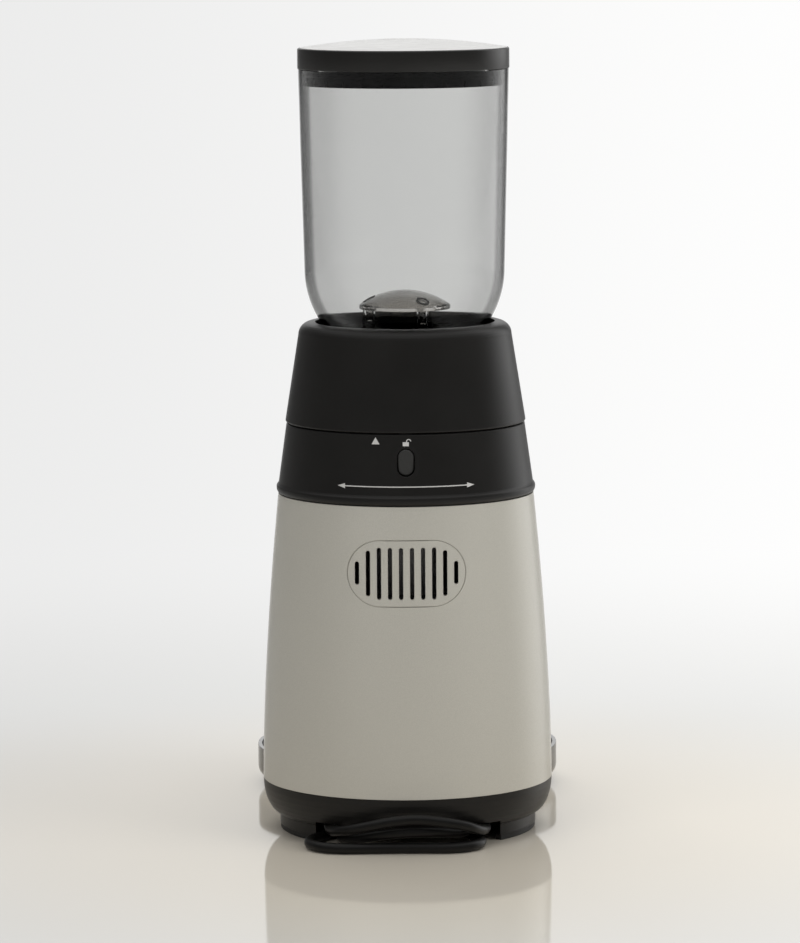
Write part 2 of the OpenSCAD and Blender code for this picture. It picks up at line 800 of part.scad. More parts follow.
// Outline of a spur gear with one tooth on the +X axis
function gear_outline(teeth) =
  let (
    pitch_r = gear_mod * teeth / 2,
    inner_r = pitch_r * cos(pressure),
    tip_r = pitch_r + 0.9 * gear_mod,
    root_r = pitch_r - 1.2 * gear_mod,
    start_r = max(inner_r, root_r) + 0.01,
    half = 90 / teeth - backlash / pitch_r * 180 / PI,
    radii = [for (i = [0:3]) start_r + (tip_r - start_r) * i / 3],
    flank = [for (r = radii) half + involute(pressure) - involute(acos(inner_r / r))]
  )
  [for (t = [0:teeth - 1]) let (mid = 360 * t / teeth)
    each concat(
      [polar(root_r, mid - flank[0])],
      [for (i = [0:3]) polar(radii[i], mid - flank[i])],
      [for (i = [3:-1:0]) polar(radii[i], mid + flank[i])],
      [polar(root_r, mid + flank[0])]
    )];

module gear(teeth, h, bore_r) {
  difference() {
    linear_extrude(h) polygon(gear_outline(teeth));
    translate([0, 0, -1]) cylinder(r = bore_r, h = h + 2);
  }
}

idler_pin_r = 2.5;
big_gear_z = gearbox_z + 6;
big_gear_h = 6;
small_gear_h = 10;
output_gear_h = 6;
output_gear_z = gearbox_split + 1.2;
bearing_r = 9.5;
bearing_h = 5;
pinion_lift = 5;
pinion_h = 8;
idler_boss_r = 5;
idler_boss_h = 5.5;
pin_bite = 1;
gearbox_hole_r = 8;
chassis_ear_r = 6;
bearing_wall = 2;

module motor_pinion() {
  color(brass)
  translate([0, 0, gearbox_z + pinion_lift]) gear(pinion_teeth, pinion_h, motor_shaft_r);
}

module compound_gear() {
  color([0.85, 0.84, 0.78])
  translate([gear_distance, 0, 0]) {
    translate([0, 0, big_gear_z]) rotate([0, 0, 180 / idler_big_teeth])
      gear(idler_big_teeth, big_gear_h, idler_pin_r + shaft_fit);
    translate([0, 0, big_gear_z + big_gear_h - eps])
      gear(idler_small_teeth, small_gear_h + eps, idler_pin_r + shaft_fit);
  }
}

module output_gear() {
  color([0.85, 0.84, 0.78])
  translate([0, 0, output_gear_z]) gear(output_teeth, output_gear_h, drive_shaft_r);
}

module idler_pin() {
  color(steel)
  translate([gear_distance, 0, gearbox_z + pin_bite])
    cylinder(r = idler_pin_r, h = gearbox_top - gearbox_z - 2 * pin_bite);
}

module gearbox_base() {
  color([0.3, 0.3, 0.3])
  difference() {
    union() {
      translate([0, 0, gearbox_z]) ring(gearbox_r, gearbox_r - gearbox_wall, gearbox_half_h);
      translate([0, 0, gearbox_z]) cylinder(r = gearbox_r - 0.5, h = gearbox_floor);
      translate([gear_distance, 0, gearbox_z]) cylinder(r = idler_boss_r, h = idler_boss_h);
      at_chassis_posts() translate([0, 0, gearbox_z])
        cylinder(r = chassis_ear_r, h = gearbox_floor);
    }
    translate([0, 0, gearbox_z - 1]) cylinder(r = gearbox_hole_r, h = gearbox_floor + 2);
    translate([gear_distance, 0, gearbox_z + pin_bite])
      cylinder(r = idler_pin_r, h = idler_boss_h);
    at_chassis_posts() translate([0, 0, gearbox_z - 1])
      cylinder(r = base_screw_r, h = gearbox_floor + 2);
  }
}

module gearbox_cover() {
  color([0.3, 0.3, 0.3])
  difference() {
    union() {
      translate([0, 0, gearbox_split]) ring(gearbox_r, gearbox_r - gearbox_wall, gearbox_half_h);
      translate([0, 0, gearbox_top - gearbox_floor])
        cylinder(r = gearbox_r - 0.5, h = gearbox_floor);
      translate([0, 0, gearbox_top - bearing_h])
        cylinder(r = bearing_r + bearing_wall, h = bearing_h);
      translate([gear_distance, 0, gearbox_top - gearbox_floor - 2])
        cylinder(r = idler_boss_r, h = gearbox_floor);
    }
    translate([0, 0, gearbox_top - bearing_h - 1]) cylinder(r = bearing_r, h = bearing_h + 2);
    translate([gear_distance, 0, gearbox_split])
      cylinder(r = idler_pin_r, h = gearbox_half_h - pin_bite);
  }
}

// ---------------------------------------------------------------- chamber and burrs

hub_h = 8;
impeller_lift = 6.2;
impeller_z = chamber_z + impeller_lift;
hub_r = 10;
disc_t = 1.8;
impeller_gap = 2;
paddle_t = 2;
cone_z = impeller_z + hub_h;
cone_top = cone_z + cone_h;
cone_scale = 0.62;
ring_burr_h = 17;
ring_burr_z = cone_z + 3;
chamber_top = shell_top + 21;
chamber_flange = 3;
chamber_floor = 3;
outlet_w = 22.8;
outlet_h = 10.8;
lug_w = 4;
lug_gap = 0.3;
lug_h = 10;
lug_drop = 14;
slot_drop = 20;
tube_out_r = 39;
tube_in_r = 36;
seal_r = drive_shaft_r + 5;
seal_h = 2;
seal_gap = 0.1;
bearing_boss_h = 3;
spring_seat_w = 12;
spring_seat_t = 1.1;
chamber_screw_r = 1.5;
chamber_screw_head_r = 3;
chamber_screw_head_h = 2;
lug_angles = [30, 150, 270];
chamber_screw_angles = [45, 135, 225, 315];

module at_chamber_screws() {
  for (a = chamber_screw_angles) rotate([0, 0, a])
    translate([flange_r - chamber_screw_head_r - 0.5, 0, 0]) children();
}

module chamber() {
  flange_z = shell_top + band_deck;
  color([0.62, 0.62, 0.64])
  difference() {
    union() {
      translate([0, 0, gearbox_top]) ring(tube_out_r, tube_in_r, chamber_z - gearbox_top + eps);
      translate([0, 0, chamber_z]) cylinder(r = chamber_out_r, h = chamber_floor);
      translate([0, 0, chamber_z]) ring(chamber_out_r, chamber_r, chamber_top - chamber_z);
      translate([0, 0, flange_z]) ring(flange_r, chamber_r, chamber_flange);
      translate([0, 0, chamber_z - bearing_boss_h])
        cylinder(r = bearing_r + chamber_wall, h = bearing_boss_h + eps);
      // Seat of the latch spring
      translate([-spring_seat_w / 2, chamber_r + chamber_wall / 2, flange_z])
        cube([spring_seat_w, spring_seat_y - chamber_r - chamber_wall / 2,
              chamber_top - flange_z]);
      translate([-spring_seat_w / 2, spring_seat_y - spring_seat_t, chamber_top - 1])
        cube([spring_seat_w, spring_seat_t, lock_z + lock_spring_r + 2.1 - chamber_top + 1]);
    }
    translate([0, 0, chamber_z - bearing_boss_h - 1])
      cylinder(r = bearing_r, h = bearing_h + 1);
    translate([0, 0, chamber_z]) cylinder(r = drive_shaft_r + 1, h = chamber_floor + 1);
    translate([0, 0, chamber_z + chamber_floor - 1]) cylinder(r = seal_r, h = seal_h);
    // Outlet to the chute
    translate([-outlet_w / 2, -chamber_out_r - 1, chamber_z + chamber_floor])
      cube([outlet_w, chamber_wall + 8, outlet_h]);
    // Slots that keep the burr carrier from turning
    for (a = lug_angles) rotate([0, 0, a])
      translate([chamber_r - 1, -lug_w / 2 - lug_gap, chamber_top - slot_drop])
        cube([chamber_wall - 0.2, lug_w + 2 * lug_gap, slot_drop + 1]);
    at_chamber_screws() translate([0, 0, flange_z - 1])
      cylinder(r = chamber_screw_r + screw_hole_gap, h = chamber_flange + 2);
  }
}

module chamber_screws() {
  color(steel)
  at_chamber_screws() translate([0, 0, shell_top + band_deck + chamber_flange])
    screw(chamber_screw_head_r, chamber_screw_head_h, chamber_screw_r,
      chamber_flange + band_deck);
}

module shaft_seal() {
  color(soft_black)
  translate([0, 0, chamber_z + chamber_floor - 1])
    ring(seal_r, drive_shaft_r + seal_gap, seal_h);
}

module shaft_bearings() {
  color(steel)
  for (z = [gearbox_top - bearing_h, chamber_z - bearing_boss_h]) translate([0, 0, z])
    ring(bearing_r, drive_shaft_r + shaft_fit, bearing_h);
}

module drive_shaft() {
  color(steel)
  translate([0, 0, gearbox_split + 0.4])
    cylinder(r = drive_shaft_r, h = cone_top + shaft_tip - gearbox_split - 0.4);
}

module impeller() {
  color([0.9, 0.9, 0.86])
  translate([0, 0, impeller_z]) difference() {
    union() {
      cylinder(r = chamber_r - impeller_gap, h = disc_t);
      cylinder(r = hub_r, h = hub_h);
      for (a = [0:60:300]) rotate([0, 0, a]) translate([hub_r - 1, -paddle_t / 2, 0])
        cube([chamber_r - impeller_gap - hub_r, paddle_t, hub_h - 1.5]);
    }
    translate([0, 0, -1]) cylinder(r = drive_shaft_r, h = hub_h + 2);
  }
}

cone_tooth = 1.6;
ring_tooth = 1.4;
ring_screw_r = 1.3;
ring_screw_inset = 2.6;
ring_screw_bite = 7;
ring_screw_head_r = 2.7;
ring_screw_head_h = 1.6;
shaft_tip = 9;
nut_r = 7;
nut_h = 6;

// Star outline of a burr, with pointed teeth
function burr_outline(r, teeth, depth) =
  [for (i = [0:2 * teeth - 1]) polar(i % 2 == 0 ? r : r - depth, 180 * i / teeth)];

module cone_burr() {
  color([0.55, 0.55, 0.56])
  translate([0, 0, cone_z]) difference() {
    linear_extrude(cone_h, scale = cone_scale, twist = 30, slices = 5)
      polygon(burr_outline(cone_r, 30, cone_tooth));
    translate([0, 0, -1]) cylinder(r = drive_shaft_r, h = cone_h + 2);
  }
}

module ring_burr() {
  grow = (cone_r + burr_gap) / cone_r;
  color([0.55, 0.55, 0.56])
  difference() {
    translate([0, 0, ring_burr_z]) cylinder(r = ring_burr_r, h = ring_burr_h);
    translate([0, 0, cone_z]) scale([grow, grow, 1])
      linear_extrude(cone_h + 4, scale = cone_scale - (1 - cone_scale) * 4 / cone_h,
        twist = -20, slices = 5)
        polygon(burr_outline(cone_r + ring_tooth, 36, ring_tooth));
    for (a = [0:120:240]) rotate([0, 0, a + 15])
      translate([ring_burr_r - ring_screw_inset, 0,
        ring_burr_z + ring_burr_h - ring_screw_bite - 1])
        cylinder(r = ring_screw_r, h = ring_screw_bite + 2);
  }
}

carrier_rise = 6;
carrier_top = chamber_top + carrier_rise;
carrier_gap = 0.35;
carrier_r = chamber_r - carrier_gap;
neck_r = 39.6;
funnel_r = 19.5;
carrier_wall = 2.2;
neck_wall = 2;
cup_rim_t = 3;
web_t = 2.5;
carrier_web_z = ring_burr_z + ring_burr_h;
cup_lift = 1;
web_drop = 1;
rim_lift = 4;
rim_drop = 2;
lug_root = 1;
lug_short = 1.2;
head_seat = 1;
carrier_hole_gap = 0.3;
carrier_head_gap = 0.4;

module burr_carrier() {
  color([0.16, 0.16, 0.16])
  difference() {
    union() {
      rotate_extrude() polygon([
        [ring_burr_r, ring_burr_z + cup_lift], [ring_burr_r + cup_rim_t, ring_burr_z + cup_lift],
        [ring_burr_r + cup_rim_t, carrier_web_z - web_drop],
        [carrier_r - carrier_wall, carrier_web_z - web_drop],
        [carrier_r - carrier_wall, ring_burr_z + rim_lift], [carrier_r, ring_burr_z + rim_lift],
        [carrier_r, chamber_top - rim_drop], [neck_r, chamber_top - rim_drop], [neck_r, carrier_top],
        [neck_r - neck_wall, carrier_top], [funnel_r, carrier_web_z + web_t],
        [funnel_r, carrier_web_z], [ring_burr_r, carrier_web_z]
      ]);
      for (a = lug_angles) rotate([0, 0, a])
        translate([carrier_r - lug_root, -lug_w / 2, chamber_top - lug_drop])
          cube([chamber_wall - lug_short, lug_w, lug_h]);
    }
    for (a = [0:120:240]) rotate([0, 0, a + 15])
      translate([ring_burr_r - ring_screw_inset, 0, carrier_web_z - head_seat]) {
        cylinder(r = ring_screw_r + carrier_hole_gap, h = 2 * lug_h);
        translate([0, 0, 2 * head_seat])
          cylinder(r = ring_screw_head_r + carrier_head_gap, h = 2 * lug_h);
      }
  }
}

module ring_burr_screws() {
  color(steel)
  for (a = [0:120:240]) rotate([0, 0, a + 15])
    translate([ring_burr_r - ring_screw_inset, 0, carrier_web_z + head_seat])
      screw(ring_screw_head_r, ring_screw_head_h, ring_screw_r, ring_screw_bite);
}

module burr_nut() {
  color(steel)
  translate([0, 0, cone_top]) difference() {
    cylinder(r = nut_r, h = nut_h, $fn = 6);
    translate([0, 0, -1]) cylinder(r = drive_shaft_r, h = nut_h + 2);
  }
}

thread_gap = 0.35;
ring_notch_w = 3;
ring_notch_d = 3.4;
ring_notch_h = 6;
ring_foot_gap = 0.25;
ring_side_gap = 0.3;
notch_root = 1;

module adjust_ring() {
  low = chamber_top + thread_gap + ring_foot_gap;
  color([0.16, 0.16, 0.16])
  difference() {
    translate([0, 0, low])
      ring(skirt_r - skirt_wall - ring_side_gap, neck_r + thread_gap, collar_floor_z - low);
    for (a = [20:40:340]) rotate([0, 0, a])
      translate([neck_r - notch_root, -ring_notch_w / 2, low - notch_root])
        cube([ring_notch_d, ring_notch_w, ring_notch_h]);
  }
}

// ---------------------------------------------------------------- collar

stop_angle = 83;
stop_rib_w = 2;
stop_rib_h = 4.2;
centring_h = 7;
centring_wall = 1.95;
foot_gap = 0.35;
drop_hole_r = 24;
collar_edge = 0.8;

module collar() {
  shoulder_z = collar_top - shoulder_r;
  slope = (collar_r - collar_top_r) / (shoulder_z - collar_z);
  inner_top = collar_top - 9;
  color(black_plastic)
  union() {
    rotate_extrude() polygon(concat(
      arc(collar_r - collar_edge, collar_z + collar_edge, collar_edge, -90, 0, 4),
      arc(collar_top_r - shoulder_r, shoulder_z, shoulder_r, 0, 90, 8),
      [[mouth_r, collar_top], [mouth_r, collar_top - 6],
       [collar_top_r - collar_wall - 1, inner_top - 2],
       [collar_r - slope * (hopper_z - collar_z) - collar_wall, hopper_z],
       [drop_hole_r, hopper_z], [drop_hole_r, collar_floor_z],
       [collar_r - slope * (collar_floor_z - collar_z) - collar_wall, collar_floor_z],
       [collar_r - collar_wall, collar_z]]
    ));
    // Skirt that turns in the bearing ring
    translate([0, 0, collar_floor_z - skirt_drop]) ring(skirt_r, skirt_r - skirt_wall,
      skirt_drop + eps);
    // Ring that centres the hopper's foot
    translate([0, 0, hopper_z - eps])
      ring(hopper_foot_r + foot_gap + centring_wall, hopper_foot_r + foot_gap, centring_h);
    // Ribs that meet the latch at the ends of the range
    for (side = [-1, 1]) rotate([0, 0, 90 + side * stop_angle])
      translate([bearing_ring_r + 0.6, -stop_rib_w / 2, collar_z + 0.5])
        cube([collar_r - collar_wall - bearing_ring_r - 0.2, stop_rib_w, stop_rib_h]);
  }
}

// ---------------------------------------------------------------- hopper, guard and lid

bowl_start_z = hopper_z + bowl_start;
bend_x = hopper_low_r - bowl_bend;
// Points of the bowl's curve, moved inwards by a wall
function bowl_curve(inset) =
  [for (a = [0:10:bowl_angle])
    [bend_x + (bowl_bend - inset) * cos(a), bowl_start_z - (bowl_bend - inset) * sin(a)]];
// Height of the bowl's cone at a radius
function cone_height(r, inset) =
  bowl_start_z - (bowl_bend - inset) * sin(bowl_angle)
    - (bend_x + (bowl_bend - inset) * cos(bowl_angle) - r) / tan(bowl_angle);
// Inner radius of the hopper's straight side at a height
function hopper_inner_r(z) =
  hopper_low_r + (hopper_r - hopper_low_r) * (z - bowl_start_z) / (hopper_top - bowl_start_z)
    - hopper_wall;
post_angles = [0, 120, 240];
guard_brim_z = hopper_z + guard_z;
peg_r = 1.5;
peg_l = 6;
post_root = 0.7;
foot_wall = 2;
foot_web = 2;
guard_t = 1.8;
brim_t = 1.7;
brim_w = 7;
guard_crown_t = 1.6;

module hopper() {
  tube_r = throat_r + hopper_wall;
  color(smoke_clear)
  difference() {
    union() {
      rotate_extrude() polygon(concat(
        [[hopper_r, hopper_top]],
        bowl_curve(0),
        [[tube_r, cone_height(tube_r, 0)], [tube_r, hopper_z], [throat_r, hopper_z],
         [throat_r, cone_height(throat_r, hopper_wall)]],
        reversed(bowl_curve(hopper_wall)),
        [[hopper_r - hopper_wall, hopper_top]]
      ));
      translate([0, 0, hopper_z])
        ring(hopper_foot_r, hopper_foot_r - foot_wall,
          cone_height(hopper_foot_r, 0) + 0.8 - hopper_z);
      translate([0, 0, hopper_z]) ring(hopper_foot_r - eps, throat_r, foot_web);
      // Posts of the guard, which start inside the cone's wall
      intersection() {
        for (a = post_angles) rotate([0, 0, a]) translate([post_pitch_r, 0, hopper_z])
          cylinder(d = post_d, h = guard_z);
        rotate_extrude() polygon([
          [tube_r - post_d, cone_height(tube_r - post_d, post_root)],
          [guard_r, cone_height(guard_r, post_root)], [guard_r, guard_brim_z],
          [tube_r - post_d, guard_brim_z]
        ]);
      }
    }
    for (a = post_angles) rotate([0, 0, a])
      translate([post_pitch_r, 0, guard_brim_z - peg_l]) cylinder(r = peg_r, h = peg_l + 1);
  }
}

// Section of a shallow dome that stands on z = 0
function dome_section(r, rise) =
  let (ball = (r * r + rise * rise) / (2 * rise), reach = asin(r / ball))
  concat([[0, 0]], [for (i = [8:-1:0]) let (a = reach * i / 8)
    [ball * sin(a), ball * cos(a) - ball + rise]]);

module bean_guard() {
  color([0.5, 0.5, 0.5, 0.6])
  union() {
    translate([0, 0, guard_brim_z]) ring(guard_r, guard_r - brim_w, brim_t);
    translate([0, 0, guard_brim_z + brim_t]) difference() {
      rotate_extrude() polygon(dome_section(guard_r, guard_dome));
      translate([0, 0, -eps]) rotate_extrude()
        polygon(dome_section(guard_r - guard_t, guard_dome - guard_crown_t));
    }
    for (a = post_angles) rotate([0, 0, a])
      translate([post_pitch_r, 0, guard_brim_z - peg_l]) cylinder(r = peg_r, h = peg_l + eps);
  }
}

lid_roof = 2;
lid_wall = 2.6;
plate_t = 1.2;
plate_edge = 0.6;
plate_rim = 8;
dimple_depth = 0.9;
notch_w = 1;
notch_h = 4;
seal_groove = 1.2;
lid_seal_h = 2;
lid_seal_proud = 0.2;
lid_seal_z = hopper_top - 3;
plug_r = hopper_inner_r(hopper_top - plug_depth) - plug_gap;
plug_wall = 3.4;

module lid_skirt() {
  color(black_plastic)
  translate([0, 0, hopper_top]) {
    ring(lid_r, lid_r - lid_wall, lid_skirt_h);
    translate([0, 0, lid_skirt_h - lid_roof]) cylinder(r = lid_r - 0.5, h = lid_roof);
  }
}

module lid_plate() {
  plate_r = lid_r - plate_edge;
  dimple_ball = (dimple_r * dimple_r + dimple_depth * dimple_depth) / (2 * dimple_depth);
  color([0.86, 0.86, 0.84])
  translate([0, 0, lid_top]) difference() {
    rotate_extrude() polygon(dome_section(plate_r, lid_dome));
    rotate_extrude() polygon(dome_section(plate_r - plate_rim,
      lid_dome - plate_t - dimple_depth));
    translate([0, 0, lid_dome - dimple_depth + dimple_ball]) sphere(r = dimple_ball);
  }
}

module lid_plug() {
  notch_count = 30;
  top = lid_top - lid_roof;
  color(soft_black)
  difference() {
    translate([0, 0, hopper_top - plug_depth]) ring(plug_r, plug_r - plug_wall,
      top - hopper_top + plug_depth);
    for (i = [0:notch_count - 1]) rotate([0, 0, 90 + 360 / notch_count * i])
      translate([plug_r - 0.6, -notch_w / 2, hopper_top - plug_depth - 1])
        cube([2, notch_w, notch_h]);
    translate([0, 0, lid_seal_z]) ring(plug_r + 1, plug_r - seal_groove, lid_seal_h);
  }
}

module lid_seal() {
  color([0.2, 0.2, 0.2])
  translate([0, 0, lid_seal_z]) ring(plug_r + lid_seal_proud, plug_r - seal_groove, lid_seal_h);
}

// ---------------------------------------------------------------- front head

head_back = 40;
head_corner = 18;
head_gap = 0.25;
// Heights and insets of the head's outline
head_layers = [[0, 3], [3, 0], [head_h - 10, 0], [head_h - 5, 3], [head_h, 8]];

// The head's outer form, or the room inside its wall, which runs on through the back
module head_form(inset, past_back) {
  depth = head_front - head_back;
  band_t = 1;
  hull() for (layer = head_layers)
    translate([0, -head_back + (past_back - depth) / 2,
      head_z + min(max(layer[0], inset), head_h - inset - band_t)])
      linear_extrude(band_t)
        rounded_rect(2 * (head_half_w - layer[1] - inset),
          depth + past_back - 2 * (layer[1] + inset), head_corner - layer[1] - inset, $fn = 48);
}

module body_envelope(gap) {
  rotate_extrude() polygon([
    [0, head_z - 5], [body_r(head_z - 5) + gap, head_z - 5],
    each [for (i = [0:6]) let (z = head_z + (shell_top - head_z) * i / 6) [body_r(z) + gap, z]],
    [band_lip_r + gap, shell_top], [band_lip_r + gap, shell_top + band_lip_h + lip_over],
    [band_low_r + gap, shell_top + band_lip_h + band_shoulder],
    [band_top_r + gap, band_top], [0, band_top]
  ]);
}

spout_front = cup_y - 3;
spout_back = spout_front - 20;
spout_low = head_z - 2;
chute_half_w = 13;
chute_gap = 0.3;
head_boss_front = base_r + 6;
head_boss_r = 4.2;
head_boss_l = 30;
head_bore_r = 1.4;
head_bore_front = base_r + 2;
head_screw_head_r = 3;
head_screw_head_h = 2;
head_screw_l = 18;
knob_hole_r = 3.6;
start_gap = 0.3;
rail_x = 11.1;
rail_w = 1.8;
rail_h = 12;
rail_lap = 1.7;
chute_wall = 1.6;
chute_slope = 0.48;
chute_start = chamber_out_r + 0.2;
chute_top = chamber_z + chamber_floor + outlet_h + 1.7;
chute_drop = 14.2;

start_flange_t = 1.5;
start_travel = 1.8;
start_stem_l = 4.6;
start_back = head_front - head_wall - 0.2 - start_flange_t;
switch_front = start_back - start_stem_l - start_travel - 0.2;
switch_depth = 5;

module front_head() {
  color(black_plastic)
  difference() {
    union() {
      difference() {
        head_form(0, 0);
        head_form(head_wall, 30);
      }
      // Bosses of the head's screws
      for (z = head_screw_heights, side = [-1, 1])
        translate([side * head_screw_x, -head_boss_front, z]) along_y()
          cylinder(r = head_boss_r, h = head_boss_l);
      // Rails that hold the start switch
      for (side = [-1, 1]) translate([side * rail_x - rail_w / 2, -head_front + head_wall - eps,
        start_z - rail_h / 2])
        cube([rail_w, start_back - switch_front + switch_depth + rail_lap, rail_h]);
    }
    body_envelope(head_gap);
    for (z = head_screw_heights, side = [-1, 1])
      translate([side * head_screw_x, -head_bore_front, z]) along_y()
        cylinder(r = head_bore_r, h = head_boss_l + 10);
    // Opening of the spout
    translate([-chute_half_w - chute_gap, -spout_front - chute_gap, head_z - 1])
      cube([2 * (chute_half_w + chute_gap), spout_front - spout_back + 2 * chute_gap,
            head_wall + 2]);
    // Holes of the knob's shaft and of the start button
    translate([0, -head_front - 1, knob_z]) along_y()
      cylinder(r = knob_hole_r, h = head_wall + 2);
    translate([0, -head_front - 1, start_z]) along_y()
      cylinder(r = start_r + start_gap, h = head_wall + 2);
  }
}

function shell_face_y(x, z) = -sqrt(pow(body_r(z) - shell_wall, 2) - x * x);

module head_screws() {
  color(steel)
  for (z = head_screw_heights, side = [-1, 1])
    translate([side * head_screw_x, shell_face_y(head_screw_x + 3, z) + 0.1, z])
      rotate([-90, 0, 0])
        screw(head_screw_head_r, head_screw_head_h, head_bore_r, head_screw_l);
}

module spout_chute() {
  inset = chute_wall / cos(atan(chute_slope));
  low_z = chute_top - chute_drop;
  function top_at(y) = chute_top - chute_slope * (y - chute_start);
  function low_at(y) = low_z - chute_slope * (y - chute_start);
  color([0.2, 0.2, 0.2])
  rotate([90, 0, -90]) difference() {
    translate([0, 0, -chute_half_w]) linear_extrude(2 * chute_half_w) polygon([
      [chute_start, chute_top], [spout_front, top_at(spout_front)], [spout_front, spout_low],
      [spout_back, spout_low], [spout_back, low_at(spout_back)], [chute_start, low_z]
    ]);
    translate([0, 0, -chute_half_w + chute_wall])
      linear_extrude(2 * (chute_half_w - chute_wall)) polygon([
        [chute_start - 1, chute_top - inset + chute_slope],
        [spout_front - chute_wall, top_at(spout_front - chute_wall) - inset],
        [spout_front - chute_wall, spout_low - 1], [spout_back + chute_wall, spout_low - 1],
        [spout_back + chute_wall, low_at(spout_back + chute_wall) + inset],
        [chute_start - 1, low_z + inset + chute_slope]
      ]);
  }
}

timer_depth = 15;
timer_w = 30;
timer_shaft_r = 3;
timer_shaft_l = 9;
knob_gap = 0.8;
knob_skirt = 3;
grip_r = 1;
pointer_w = 1.6;
pointer_l = 8;

module timer_unit() {
  back = head_front - head_wall;
  color([0.35, 0.33, 0.3])
  union() {
    translate([-timer_w / 2, -back, knob_z - timer_w / 2])
      cube([timer_w, timer_depth, timer_w]);
    translate([0, -back - head_wall - timer_shaft_l, knob_z]) along_y()
      cylinder(r = timer_shaft_r, h = head_wall + timer_shaft_l + eps);
  }
}

module timer_knob() {
  grips = 24;
  color([0.2, 0.2, 0.2])
  translate([0, -head_front - knob_gap, knob_z]) rotate([90, 0, 0]) difference() {
    rotate_extrude() polygon([
      [0, 0], [knob_r, 0], [knob_r, knob_skirt], [knob_r - 1.5, knob_skirt + 1],
      [knob_r - 2.6, knob_depth - 1.5], [knob_r - 4.1, knob_depth], [0, knob_depth]
    ]);
    translate([0, 0, -1]) cylinder(r = timer_shaft_r + shaft_fit, h = timer_shaft_l + 1);
    for (i = [0:grips - 1]) rotate([0, 0, 360 / grips * i])
      translate([knob_r - 0.9, 0, knob_skirt + 1.5]) cylinder(r = grip_r, h = knob_depth);
    translate([-pointer_w / 2, knob_r - pointer_l - 2, knob_depth - 0.8])
      cube([pointer_w, pointer_l, 2]);
  }
}

switch_w = 20.2;
switch_h = 10;

module start_switch() {
  color([0.15, 0.15, 0.17])
  translate([-switch_w / 2, -switch_front, start_z - switch_h / 2])
    cube([switch_w, switch_depth, switch_h]);
}

start_proud = 2.7;
start_flange_w = 1.5;
start_stem_r = 2.2;
start_spring_r = 3.4;
start_wire_r = 0.35;
start_turns = 5;

module start_button() {
  color([0.62, 0.62, 0.6])
  translate([0, -start_back, start_z]) rotate([90, 0, 0]) union() {
    cylinder(r = start_r, h = start_flange_t + head_wall + start_proud);
    cylinder(r = start_r + start_flange_w, h = start_flange_t);
    translate([0, 0, -start_stem_l]) cylinder(r = start_stem_r, h = start_stem_l + eps);
  }
}

module start_spring() {
  room = start_back - switch_front;
  color(steel)
  translate([0, -switch_front - 0.05, start_z]) rotate([90, 0, 0])
    coil_spring(start_spring_r, start_wire_r, room - 0.1, start_turns);
}

// ---------------------------------------------------------------- container and dish

plate_top = dish_top + 0.2;
cup_top = plate_top + cup_h;
cup_floor = 3;
cup_lid_h = 4;
cup_lid_lap = 1;
cup_lid_rim = 4;
cup_lid_gap = 0.6;
cup_lid_hole_r = 17;

module grounds_container() {
  color([0.5, 0.5, 0.5, 0.4])
  translate([0, -cup_y, plate_top]) difference() {
    cylinder(r1 = cup_foot_r, r2 = cup_r, h = cup_h);
    translate([0, 0, cup_floor]) cylinder(r1 = cup_foot_r - cup_wall + 0.1,
      r2 = cup_r - cup_wall, h = cup_h - cup_floor + eps);
  }
}

module container_lid() {
  inner = cup_r - cup_wall;
  color(black_plastic)
  translate([0, -cup_y, cup_top]) difference() {
    union() {
      cylinder(r = cup_r + cup_lid_lap, h = cup_lid_h);
      translate([0, 0, -cup_lid_rim])
        ring(inner - cup_lid_gap, inner - cup_lid_gap - cup_wall, cup_lid_rim + eps);
    }
    translate([0, cup_y - (spout_front + spout_back) / 2, -cup_lid_rim - 1])
      cylinder(r = cup_lid_hole_r, h = cup_lid_h + cup_lid_rim + 4);
  }
}

dish_gap = 0.8;
body_clear = base_r + dish_gap;
plate_foot_z = dish_z + dish_wall;
dish_foot_r = 6;
dish_foot_spots = [[-44, 33], [44, 33], [-52, -23], [52, -23]];
plate_edge_gap = 0.4;
plate_slot_w = 3.2;
plate_slot_l = 44;
plate_slot_pitch = 14;
plate_slot_wave = 4;
plate_ring_w = 2;
plate_rings = [34, 64];

module front_dish() {
  inner_r = dish_r - dish_wall;
  color(silver_paint)
  difference() {
    union() {
      translate([0, -cup_y, 0]) difference() {
        rotate_extrude() polygon(concat(
          [[0, dish_z]],
          arc(dish_r - dish_round, dish_z + dish_round, dish_round, -90, 0, 6),
          [[dish_r, dish_top], [0, dish_top]]
        ));
        translate([0, 0, dish_z + dish_wall]) rotate_extrude() polygon(concat(
          [[0, 0]],
          arc(inner_r - dish_round + dish_wall, dish_round - dish_wall, dish_round - dish_wall,
            -90, 0, 4),
          [[inner_r, dish_top], [0, dish_top]]
        ));
      }
      // Curved wall beside the base
      intersection() {
        translate([0, 0, dish_z]) ring(body_clear + dish_wall, body_clear - 2, dish_top - dish_z);
        translate([0, -cup_y, 0]) cylinder(r = dish_r - 1, h = dish_top);
      }
    }
    translate([0, 0, -1]) cylinder(r = body_clear, h = dish_top + 2);
  }
  // Tongue that slides into the base
  color(silver_paint)
  translate([-tongue_w / 2, -body_clear - 0.5, dish_z])
    cube([tongue_w, body_clear + 0.5 - cavity_r + tongue_reach, dish_wall]);
}

